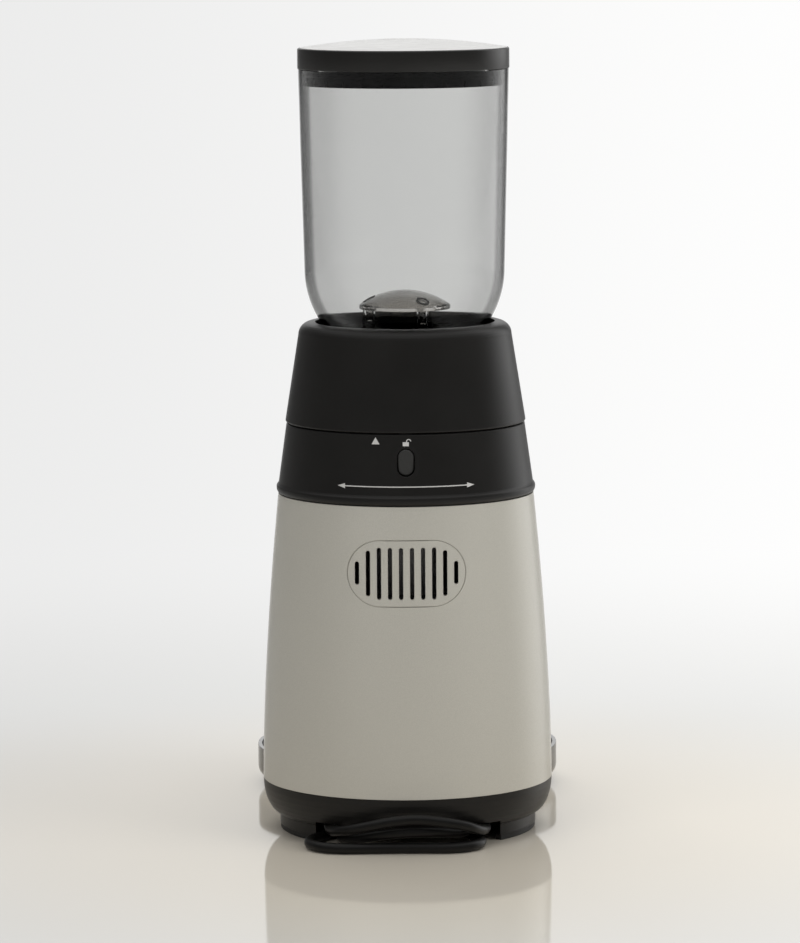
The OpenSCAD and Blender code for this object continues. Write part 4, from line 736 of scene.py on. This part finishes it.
@dataclass
class Studio(Assembly):
    """Camera, lamps, floor and backdrop; each lamp has a name, a place, a side and a power."""

    distance: float = 2.383
    height: float = 0.4616
    aside: float = 0.0028
    pitch: float = 0.1207
    roll: float = -0.0063
    lens: float = 189.9
    lamps: tuple[tuple[str, Point, float, float], ...] = (
        ("key", (-2.0, 0.9, 1.1), 1.6, 23.0),
        ("fill", (1.3, 1.9, 1.0), 1.6, 19.0),
        ("top", (0.0, -0.3, 1.9), 1.8, 22.0),
        ("front", (0.5, -1.8, 1.1), 1.4, 14.0),
    )
    lamp_aim: Point = (0, 0, 0.18)
    floor_near: Rgb = (0.685, 0.626, 0.528)
    floor_far: Rgb = (0.66, 0.655, 0.63)
    floor_painted_shade: float = 0.3
    floor_reach: float = 6.0
    backdrop_colour: Rgb = (0.915, 0.915, 0.912)
    backdrop_lean: float = 0.085
    ambient_colour: Rgb = (0.96, 0.975, 1.0)
    ambient: float = 0.42
    lean: float = 0.28
    mirror_low: float = 0.14
    mirror_high: float = 0.95
    mirror_right: float = 1.75

    def camera(self) -> None:
        """Sets the camera behind the grinder, a little above it."""
        data = bpy.data.cameras.new("camera")
        data.lens = self.lens
        data.sensor_width = 36.0
        data.clip_end = 50.0
        camera = linked("camera", data)
        camera.matrix_world = (
            Matrix.Translation((self.aside, self.distance, self.height))
            @ Matrix.Rotation(math.pi, 4, "Z")
            @ Matrix.Rotation(math.pi / 2 - self.pitch, 4, "X")
            @ Matrix.Rotation(self.roll, 4, "Z")
        )
        bpy.context.scene.camera = camera

    def lamp(self, name: str, place: Point, size: float, power: float) -> None:
        """A square lamp that looks at the grinder's middle and shows in nothing.

        Args:
            name: its name.
            place: where it hangs, in metres.
            size: its side in metres.
            power: its power in watts.
        """
        data = bpy.data.lights.new(name, "AREA")
        data.size = size
        data.energy = power
        lamp = linked(name, data)
        lamp.visible_glossy = False
        lamp.visible_transmission = False
        lamp.location = place
        away = Vector(place) - Vector(self.lamp_aim)
        lamp.rotation_euler = away.to_track_quat("Z", "Y").to_euler()

    def backdrop_strength(self, aside: Field) -> Field:
        """Strength of the backdrop, which grows from the left to the right."""
        return 1 + self.backdrop_lean - 2 * self.backdrop_lean * aside.step(-0.1, 0.1)

    def world(self) -> None:
        """A pale backdrop, a bright far side and right for mirrors, and a dim near side."""
        world = bpy.data.worlds.new("studio")
        bpy.context.scene.world = world
        s = Shader(world)
        x, y, z = s.parts(s.node("ShaderNodeTexCoord").outputs["Generated"])
        right, far = 0 - x, 0 - y
        backdrop = (1 - x * x).step(0.86, 0.97) * far.step(-0.1, 0.3)
        side = right.step(0.46, 0.68) * far.step(0.0, 0.6)
        bright = (backdrop + z.step(0.45, 0.9)).smallest(1.0) + self.mirror_right * side
        glow = self.mirror_low + (self.mirror_high - self.mirror_low) * bright
        through = s.ray("Transmission")
        ambient, mirror, seen = (
            s.node("ShaderNodeBackground", None, {"Color": colour, "Strength": strength}).outputs[0]
            for colour, strength in (
                (self.ambient_colour, self.ambient * (1 - self.lean * x)),
                ((1.0, 1.0, 1.0), glow),
                (self.backdrop_colour, self.backdrop_strength(x)),
            )
        )
        unseen = s.mix((s.ray("Glossy") + through).smallest(1.0), ambient, mirror)
        looked_at = (s.ray("Camera") + through * backdrop).smallest(1.0)
        s.end(s.mix(looked_at, unseen, seen), "ShaderNodeOutputWorld")

    def floor(self) -> None:
        """A wide pale floor that fades into the backdrop, with painted shade that darkens it towards +x."""
        mesh = bmesh.new()
        bmesh.ops.create_grid(mesh, x_segments=8, y_segments=8, size=self.floor_reach)
        data = bpy.data.meshes.new("floor")
        mesh.to_mesh(data)
        mesh.free()
        material = bpy.data.materials.new("floor")
        s = Shader(material)
        x, y, z = s.parts(s.place())
        away = (x * x + y * y) ** 0.5
        colour = s.blend(away.step(0.12, 0.42), self.floor_near, self.floor_far)
        # Painted shade: the floor's colour darkens towards +x, away from the key lamp, in place of light
        # falling off across it
        colour = s.blend(self.floor_painted_shade * x.step(-0.35, 0.35), colour, (0.0, 0.0, 0.0))
        polished = s.principled(colour, 0.05 + 0.02 * s.noise(0.4), None, {"IOR": 1.47})
        # The angle aside as the camera sees it, kept finite behind the camera
        aside = x / (self.distance - y.smallest(0.5))
        glow = {"Color": self.backdrop_colour, "Strength": self.backdrop_strength(aside)}
        white = s.node("ShaderNodeEmission", None, glow).outputs[0]
        seen = (s.ray("Camera") + s.ray("Transmission")).smallest(1.0)
        s.end(s.mix(away.step(0.26, 1.0) * seen, polished, white))
        data.materials.append(material)
        floor = linked("floor", data)
        floor.location = (0, 0, -0.0001)

    def build(self) -> None:
        """Builds the whole studio, the camera first."""
        bpy.context.scene.view_settings.view_transform = "Standard"
        self.camera()
        self.world()
        for lamp in self.lamps:
            self.lamp(*lamp)
        self.floor()


# ---- mains lead

CORD_ROUTE: list[Point] = [
    (-36, 10, 14), (-36, 22, 13), (-36.5, 34, 10.5), (-37, 44, 7.7), (-36.5, 54, 7.6),
    (-33.3, 64, 9.3), (-26.5, 71.5, 12.5), (-16.5, 75.2, 15), (-4, 76.5, 16.5), (8, 76.5, 15.5),
    (19, 74.5, 13), (28, 70, 10.5), (34, 63, 8.8), (37, 53.5, 7.7), (37.5, 43, 7.7), (36.5, 32, 8),
    (33, 20, 8), (27, 9, 8), (18, 1, 8), (7, -4, 8), (-5, -4, 8), (-16, 1, 8), (-25, 10, 8),
    (-29.5, 21, 7.8), (-31, 33, 7.8), (-30.8, 45, 7.8), (-28.7, 56, 7.7), (-22.5, 65.3, 8),
    (-13, 71, 9.4), (1, 73, 9.6), (14, 71, 8), (23.5, 65.5, 5.6), (29.8, 57, 3.6),
    (31.2, 46.5, 2.8), (30.6, 36, 2.7), (27.5, 25.5, 2.7), (21.5, 16, 2.7), (12, 9.2, 2.7),
    (0, 6.5, 2.7), (-12, 9.2, 2.7), (-21, 17, 2.7), (-25.5, 26.5, 2.7), (-28.5, 36, 2.6),
    (-31.4, 45.6, 2.6), (-34, 54.3, 2.6), (-34.5, 61.3, 2.6), (-31.8, 67.9, 2.6),
    (-26.4, 72.6, 2.6), (-19.4, 74.7, 2.6), (-9, 74.5, 2.6), (3, 74.2, 2.6), (14, 74.6, 2.6),
    (23, 75, 2.6), (31, 74.8, 2.6), (38.8, 72.5, 2.6), (44.7, 66.7, 2.6), (46.9, 59.8, 2.6),
    (46.4, 54.1, 2.6), (44.5, 49.9, 2.6), (41.2, 44.6, 2.6), (38.3, 38.6, 2.6), (36.3, 29.5, 2.6),
    (37, 19.5, 2.6), (39.5, 8, 3), (39, -4, 4), (36.5, -15, 5), (30, -25.5, 5.7), (20.5, -32.7, 6),
    (9.5, -35, 6),
]


@dataclass
class MainsLead(Assembly):
    """The mains lead, its strain relief and its plug, stored under the base."""

    length: float = 0.719
    diameter: float = 5.0
    relief: Point = (-36.0, -24.0, 14.0)
    sleeve_radius: float = 4.0
    sleeve_flange: float = 12.0
    sleeve_end: float = 34.0
    sleeve_taper: float = 0.8
    rings: int = 4
    ring_start: float = 15.0
    ring_pitch: float = 4.2
    ring_depth: float = 0.7
    grip: Point = (11.5, 21, 19)
    grip_start: float = 9.0
    ribs: int = 3
    rib: Point = (11.9, 12, 1.0)
    rib_start: float = 13.0
    blade: Point = (6.2, 1.5, 16.2)
    blade_start: float = 27.8
    blade_aside: float = 6.35

    def build(self) -> None:
        relief = self.strain_relief()
        plug = self.plug()
        self.cord()

    def cord(self) -> bpy.types.Object:
        """The sheathed lead, a smooth curve through its route."""
        data = bpy.data.curves.new("mains_cord", "CURVE")
        data.dimensions = "3D"
        line = data.splines.new("BEZIER")
        line.bezier_points.add(len(CORD_ROUTE) - 1)
        for point, spot in zip(line.bezier_points, CORD_ROUTE):
            point.co = tuple(c * MM for c in spot)
            point.handle_left_type = point.handle_right_type = "AUTO"
        data.resolution_u = 8
        data.bevel_depth = self.diameter / 2 * MM
        data.bevel_resolution = 5
        data.use_fill_caps = True
        return ridden("mains_cord", data, "cord_sheath", "casing", ["power_cord"])

    def strain_relief(self) -> bpy.types.Object:
        """A tapered sleeve with grooves, along +Y."""
        radius, end = self.diameter / 2, self.sleeve_end
        profile = [(radius, 0), (self.sleeve_radius, 0), (self.sleeve_radius, self.sleeve_flange)]
        for i in range(self.rings):
            start = self.ring_start + self.ring_pitch * i
            along = (start - self.sleeve_flange) / (end - self.sleeve_flange)
            outer = self.sleeve_radius - self.sleeve_taper * along
            deep = outer - self.ring_depth
            profile += [(outer, start), (deep, start + 0.3), (deep, start + 1.3), (outer - 0.1, start + 1.6)]
        profile += [(radius + 0.75, end - 0.5), (radius + 0.4, end), (radius, end)]
        mesh = moved(spun(profile, 48), shift(*self.relief) @ turned(-90, "X"))
        return put("strain_sleeve", mesh, "soft_black", "casing", ["strain_relief"])

    def plug(self) -> bpy.types.Object:
        """A flat two-blade plug at the lead's far end, pointing along -X."""
        spot = shift(*CORD_ROUTE[-1]) @ turned(-90, "Y")
        sleeve = spun([(0, 0), (2.9, 0), (3.2, 0.4), (4.4, 10), (0, 10)], 40)
        width, depth, height = self.grip
        body = round_edges(plate(rounded_box(width, depth, 4), height), 1.4, 4)
        parts = [sleeve, moved(body, shift(z=self.grip_start))]
        width, depth, height = self.rib
        for i in range(self.ribs):
            rib = round_edges(plate(rounded_box(width, depth, 4), height), 0.3, 2)
            parts.append(moved(rib, shift(z=self.rib_start + 3 * i)))
        body = moved(joined(*parts), spot)
        grip = put("plug_body", body, "soft_black", "casing", ["power_plug"])
        blades = []
        width, depth, height = self.blade
        for side in (-1, 1):
            blade = round_edges(plate(rounded_box(width, depth, 0.5, 3), height), 0.25, 2, 60)
            blades.append(moved(blade, shift(y=side * self.blade_aside, z=self.blade_start)))
        put("plug_blades", moved(joined(*blades), spot), "steel", "casing")
        return grip


# ---- lid and hopper


@dataclass
class Lid(Assembly):
    """The hopper's lid: a moulded skirt with a satin crown that has a finger dimple."""

    radius: float = 50.7
    low: float = 366.8
    top: float = 376.7
    wall: float = 2.6
    thick: float = 2.0
    dome: float = 4.1
    rings: int = 40
    steps: int = 160
    dimple_radius: float = 12.5
    dimple_depth: float = 0.9
    dimple_wall: float = 0.9
    dimple_lip: float = 0.55
    finishes = {"plug_black": "lid_plug lid_seal"}

    def build(self) -> None:
        """Builds the skirt and the crown."""
        outer, low, top = self.radius, self.low, self.top
        skirt = (
            [(outer - self.wall, low), (outer - 0.35, low)]
            + corner((outer - 0.35, low + 0.35), 0.35, -90, 0, 3)
            + corner((outer - 0.9, top - 0.9), 0.9, 0, 90, 6)
            + [(0, top), (0, top - self.thick), (outer - self.wall, top - self.thick)]
        )
        put("lid_ring", spun(skirt, self.steps), "lid_plastic", "lid", ["lid_skirt"])
        edge = outer - 1.0
        reach = [edge * (1 - i / self.rings) for i in range(1, self.rings + 1)]
        reach += [self.dimple_radius - self.dimple_wall * i / 4 for i in range(5)]
        crown = [(0, top + 0.6), (edge - 2, top + 0.02), (edge, top + 0.02)]
        crown += [(r, top + self.crown_height(r, edge)) for r in sorted(reach, reverse=True)]
        put("lid_crown", spun(crown, self.steps), "lid_silver", "lid", ["lid_plate"], 50)

    def crown_height(self, r: float, edge: float) -> float:
        """Height of the crown at a radius, with the dimple taken away.

        Args:
            r: the radius.
            edge: the crown's own radius.

        Returns:
            The height over the skirt's top.
        """
        rise = cap(edge, self.dome, r)
        if r >= self.dimple_radius:
            return rise
        share = min(1.0, (self.dimple_radius - r) / self.dimple_wall)
        hollow = self.dome - cap(self.dimple_radius, self.dimple_depth, r)
        return min(rise, rise + (hollow - self.dimple_lip - rise) * share)


@dataclass
class Hopper(Assembly):
    """The clear hopper with its bean guard."""

    rim: float = 50.5
    low: float = 48.05
    top: float = 366.8
    foot: float = 205.0
    bowl_start: float = 271.0
    bend: float = 47.0
    slope: float = 50.0
    wall: float = 2.0
    throat: float = 14.0
    foot_radius: float = 29.6
    foot_wall: float = 2.0
    post_pitch: float = 17.2
    post_radius: float = 3.0
    post_turns: tuple[int, ...] = (0, 120, 240)
    peg_radius: float = 1.5
    peg_length: float = 6.0
    brim: float = 251.7
    brim_thick: float = 1.7
    brim_inner: float = 15.0
    guard_radius: float = 22.0
    guard_rise: float = 7.2

    def bowl(self, inset: float, steps: int = 28) -> list[Spot]:
        """Points of the bowl's bend, down to where its cone starts."""
        middle = (self.low - self.bend, self.bowl_start)
        return corner(middle, self.bend - inset, 0, -self.slope, steps)

    def cone(self, radius: float, inset: float) -> float:
        """Height of the bowl's cone at a radius."""
        x, z = self.bowl(inset)[-1]
        return z - (x - radius) / math.tan(math.radians(self.slope))

    def build(self) -> None:
        """Builds the hopper and its guard."""
        tube = self.throat + self.wall
        shell = (
            [(self.rim - self.wall, self.top), (self.rim - 0.3, self.top), (self.rim, self.top - 0.3)]
            + self.bowl(0)
            + [(self.foot_radius, self.cone(self.foot_radius, 0)), (self.foot_radius, self.foot)]
            + [(self.throat, self.foot), (self.throat, self.cone(self.throat, self.wall))]
            + self.bowl(self.wall)[::-1]
        )
        inner, web = self.foot_radius - self.foot_wall, self.foot + self.foot_wall
        hollow = [(tube, web), (inner, web), (inner, self.cone(inner, 0)), (tube, self.cone(tube, 0))]
        parts = [hollowed(spun(shell, 192), spun(hollow, 192))]
        for turn in self.post_turns:
            post = self.post(turn)
            bmesh.ops.recalc_face_normals(post, faces=post.faces)
            parts.append(post)
        whole = joined(*parts)
        put("hopper_shell", whole, "smoke_clear", "hopper", ["hopper"], 40, oriented=True)
        stakes = joined(*[self.stake(turn) for turn in self.post_turns])
        put("guard_stakes", stakes, "stake_smoke", "hopper")
        pegs = [self.at_post(self.peg(), turn) for turn in self.post_turns]
        guard = joined(spun(self.dome(), 144), *pegs)
        put("hopper_guard", guard, "guard_clear", "hopper", ["bean_guard"], 40)

    def at_post(self, mesh: Mesh, turn: float) -> Mesh:
        """Takes a mesh from the axis to the post at an angle in degrees."""
        return moved(mesh, turned(turn) @ shift(self.post_pitch))

    def post(self, turn: float) -> Mesh:
        """A post with a peg hole, whose foot follows the cone."""
        start, high = self.cone(self.post_pitch, self.wall), self.brim - 0.05
        hole, floor = self.peg_radius + 0.05, self.brim - self.peg_length - 0.1
        section = [(0, start), (self.post_radius, start), (self.post_radius, high)]
        mesh = self.at_post(spun(section + [(hole, high), (hole, floor), (0, floor)], 40), turn)
        for vert in mesh.verts:
            if vert.co.z < (start + 0.01) * MM:
                radius = math.hypot(vert.co.x, vert.co.y) / MM
                vert.co.z = (self.cone(radius, self.wall) + 0.02) * MM
        return mesh

    def stake(self, turn: float) -> Mesh:
        """The ring that a peg's head leaves on the dome."""
        section = [(1.9, -0.2), (3.0, -0.2), (3.0, 0.15), (2.8, 0.25), (2.1, 0.25), (1.9, 0.15)]
        mesh = self.at_post(spun(section, 48), turn)
        for vert in mesh.verts:
            radius = math.hypot(vert.co.x, vert.co.y) / MM
            height = self.brim + self.brim_thick + cap(self.guard_radius, self.guard_rise, radius)
            vert.co.z += height * MM
        return mesh

    def peg(self) -> Mesh:
        """A peg of the guard, on the axis."""
        radius, low, high = self.peg_radius, self.brim - self.peg_length, self.brim - 0.02
        return spun([(0, low), (radius - 0.3, low), (radius, low + 0.3), (radius, high), (0, high)], 32)

    def dome(self) -> list[Spot]:
        """Section of the guard: its brim and its shallow dome."""
        foot = self.brim + self.brim_thick
        points = [(self.brim_inner, self.brim)]
        points += corner((self.guard_radius - 0.4, self.brim + 0.4), 0.4, -90, 0, 4)
        for radius, rise, order in (
            (self.guard_radius, self.guard_rise, 1),
            (self.guard_radius - 1.8, self.guard_rise - 1.6, -1),
        ):
            reach = [radius * (1 - i / 24) for i in range(25)]
            points += [(r, foot + cap(radius, rise, r)) for r in reach[::order]]
        return points + [(self.brim_inner, foot)]


# ---- collar and band


@dataclass
class Band(Assembly):
    """The black band with the release button, and the collar above it."""

    start: float = 168.4
    top: float = 196.9
    low_radius: float = 61.3
    top_radius: float = 57.4
    button_z: float = 183.8
    button_back: float = 52.9
    button_thick: float = 5.59
    mark_lift: float = 0.04
    finishes = {
        "black_plastic": "upper_housing collar",
        "steel": "lock_spring",
    }

    def wrapped(self, mesh: Mesh) -> Mesh:
        """Lays a flat mark on the band's rear face.

        Args:
            mesh: the mark in metres, with x across as seen from outside and y up.

        Returns:
            The same mesh, laid on the face.
        """
        bmesh.ops.subdivide_edges(mesh, edges=mesh.edges, cuts=2, use_grid_fill=True)
        slope = (self.low_radius - self.top_radius) / (self.top - self.start)
        for vert in mesh.verts:
            x, z, lift = (c / MM for c in vert.co)
            radius = self.low_radius - slope * (z - self.start) + self.mark_lift + lift
            turn = x / radius
            vert.co = (-radius * math.sin(turn) * MM, radius * math.cos(turn) * MM, z * MM)
        return mesh

    def strip(self, x: float, z: float, width: float, height: float) -> Mesh:
        """A flat rectangular mark with its middle at (x, z)."""
        mesh = bmesh.new()
        bmesh.ops.create_grid(mesh, x_segments=max(1, int(width / 3)), y_segments=1, size=0.5)
        return moved(mesh, shift(x, z) @ Matrix.Diagonal((width * MM, height * MM, 1, 1)))

    def triangle(self, x: float, z: float, width: float, height: float, turn: float) -> Mesh:
        """A flat triangular mark with its middle at (x, z), turned by degrees."""
        mesh = bmesh.new()
        spots = ((-width / 2, -height / 2), (width / 2, -height / 2), (0, height / 2))
        mesh.faces.new([mesh.verts.new((a * MM, b * MM, 0)) for a, b in spots])
        return moved(mesh, shift(x, z) @ turned(turn))

    def arch(self, x: float, z: float, radius: float, wide: float) -> Mesh:
        """A flat half ring, open below, with its middle at (x, z)."""
        mesh = bmesh.new()
        ends = [mesh.verts.new((r * MM, 0, 0)) for r in (radius, radius + wide)]
        geom = [*ends, mesh.edges.new(ends)]
        bmesh.ops.spin(mesh, geom=geom, cent=(0, 0, 0), axis=(0, 0, 1), angle=math.pi, steps=14)
        return moved(mesh, shift(x, z))

    def build(self) -> None:
        """Builds the button with its latch, and the printed marks."""
        button = round_edges(plate(stadium(7.6, 12.4), self.button_thick), 0.7, 4, 60)
        flange = plate(stadium(11, 16), 1.5)
        latch = plate([(-3, 0), (3, 0), (3, 16.7), (-3, 16.7)], 1.5)
        key = moved(joined(button, flange, latch), facing_rear(self.button_back, self.button_z))
        put("release_key", key, "button_grey", "release", ["lock_button"])
        marks = (
            self.triangle(-14.4, 194.0, 3.9, 3.3, 0),
            # Open padlock
            self.strip(0, 192.5, 2.9, 1.9),
            self.arch(1.35, 193.8, 0.75, 0.4),
            self.strip(0.4, 193.6, 0.4, 0.4),
            # Arrow to both sides
            self.strip(0, 172.5, 60, 0.5),
            self.triangle(-32, 172.5, 2.4, 4, 90),
            self.triangle(32, 172.5, 2.4, 4, -90),
        )
        laid = joined(*[self.wrapped(mark) for mark in marks])
        put("band_marks", laid, "print_white", "casing")


# ---- body and base


@dataclass
class Body(Assembly):
    """The silver shell with its grille, and the black base below it."""

    foot_radius: float = 70.0
    taper: float = 8.4
    curve: float = 1.65
    foot: float = 24.6
    height: float = 138.4
    vent_width: float = 56.2
    vent_height: float = 31.5
    vent_middle: float = 131.7
    groove: float = 0.35
    groove_depth: float = 0.3
    strip_thick: float = 1.0
    clearance: float = 0.01
    finishes = {
        "silver_paint": "body_shell vent_grille",
        "black_plastic": "base_pan",
        "soft_black": "rubber_feet",
        "zinc_steel": "base_screws",
    }

    def radius_at(self, z: float) -> float:
        """Radius of the shell's face at a height, in millimetres."""
        return self.foot_radius - self.taper * ((z - self.foot) / self.height) ** self.curve

    def ring(self, mesh: Mesh, inset: float, depth: float) -> list[bmesh.types.BMEdge]:
        """Draws the grille's outline on the shell.

        Args:
            mesh: the mesh that gets the ring.
            inset: how far the ring lies inside the opening.
            depth: how far it lies under the shell's face.

        Returns:
            The ring's edges.
        """
        verts = []
        for across, x in stadium(self.vent_height - 2 * inset, self.vent_width - 2 * inset, 48):
            z = self.vent_middle + across
            radius = self.radius_at(z) - depth
            verts.append(mesh.verts.new((x * MM, math.sqrt(radius**2 - x**2) * MM, z * MM)))
        return [mesh.edges.new(pair) for pair in zip(verts, verts[1:] + verts[:1])]

    def build(self) -> None:
        """Builds the strip at the bottom of the shallow groove round the grille."""
        mesh = bmesh.new()
        high, deep = self.groove_depth, self.groove_depth + self.strip_thick
        low, wide = self.clearance, self.groove - self.clearance
        rings = [self.ring(mesh, *spot) for spot in ((low, high), (wide, high), (wide, deep), (low, deep))]
        for first, second in zip(rings, rings[1:] + rings[:1]):
            bmesh.ops.bridge_loops(mesh, edges=first + second)
        put("grille_groove", mesh, "silver_paint", "casing")


# ---- front head


@dataclass
class SpoutHead(Assembly):
    """The front head with the timer knob, the start button and the spout."""

    front: float = -130.0
    knob_z: float = 162.0
    start_z: float = 127.0
    steps: int = 96
    first_turn: float = -150.0
    ticks: int = 31
    tick_turn: float = 10.0
    tick_radius: float = 18.4
    long_every: int = 5
    figures: int = 7
    figure_radius: float = 23.0
    figure_size: float = 3.4
    finishes = {
        "black_plastic": "front_head timer_knob",
        "grey_plastic": "spout_chute timer_unit start_switch",
        "lid_silver": "start_button",
        "steel": "start_spring",
        "zinc_steel": "head_screws",
    }

    def build(self) -> None:
        """Builds the timer's scale and the start button's bezel."""
        at_knob, at_start = (facing_front(self.front, z) for z in (self.knob_z, self.start_z))
        scale = [(17.8, 0), (25.6, 0), (26, 0.25), (26, 0.5), (25.6, 0.7), (18.2, 0.7), (17.8, 0.5)]
        bezel = [(8.5, 0), (11.2, 0), (11.2, 0.5), (10.6, 1.1), (9.2, 1.1), (8.5, 0.6)]
        for name, section, spot in (("timer_scale", scale, at_knob), ("start_bezel", bezel, at_start)):
            mesh = moved(spun(section, self.steps), spot)
            put(name, mesh, "lid_silver", "casing")
        marks = [self.tick(i) for i in range(self.ticks)] + [self.figure(i) for i in range(self.figures)]
        put("timer_figures", moved(joined(*marks), at_knob), "black_plastic", "casing")

    def tick(self, i: int) -> Mesh:
        """One tick of the scale; every fifth is longer."""
        long = 1.2 if i % self.long_every else 2.2
        mark = plate([(-0.2, 0), (0.2, 0), (0.2, long), (-0.2, long)], 0.06)
        return moved(mark, turned(-self.first_turn - self.tick_turn * i) @ shift(0, self.tick_radius, 0.68))

    def figure(self, i: int) -> Mesh:
        """One plain number of the scale, upright beside its long tick."""
        text = bpy.data.curves.new("figure", "FONT")
        text.body = str(self.long_every * i)
        text.size = self.figure_size * MM
        text.align_x = text.align_y = "CENTER"
        text.extrude = 0.03 * MM
        holder = linked("figure", text)
        evaluated = holder.evaluated_get(bpy.context.evaluated_depsgraph_get())
        mesh = bmesh.new()
        mesh.from_mesh(evaluated.to_mesh())
        evaluated.to_mesh_clear()
        bpy.data.objects.remove(holder)
        bpy.data.curves.remove(text)
        turn = math.radians(self.first_turn + self.tick_turn * self.long_every * i)
        reach = self.figure_radius
        return moved(mesh, shift(reach * math.sin(turn), reach * math.cos(turn), 0.71))


class Catch(Assembly):
    """The grounds container on its dish."""

    finishes = {
        "smoke_clear": "grounds_container",
        "black_plastic": "container_lid",
        "dish_steel": "front_dish",
        "soft_black": "dish_plate dish_feet",
    }


class DriveTrain(Assembly):
    """Motor, gears, burrs and electrics inside the body."""

    finishes = {
        "steel": "motor_shaft drive_shaft idler_pin shaft_bearings chassis_posts",
        "zinc_steel": "motor_can chamber_screws burr_nut ring_burr_screws",
        "grey_plastic": "motor_end_cap cooling_fan gearbox_base gearbox_cover burr_carrier adjust_ring",
        "magnet": "motor_magnets motor_brushes",
        "bronze": "motor_bushes motor_pinion",
        "winding": "motor_rotor",
        "gear_nylon": "compound_gear output_gear impeller",
        "die_cast": "chamber",
        "soft_black": "shaft_seal",
        "burr_steel": "cone_burr ring_burr",
        "board_green": "circuit_board",
        "part_blue": "capacitor",
    }


def main() -> None:
    """Builds the studio, the lead and every sub-assembly in order."""
    logging.basicConfig(level=logging.INFO, format="%(message)s")
    kinds = (Studio, MainsLead, Lid, Hopper, Band, Body, SpoutHead, Catch, DriveTrain)
    for kind in kinds:
        assembly = kind()
        assembly.build()
        assembly.dress()


if __name__ == "__main__":
    main()
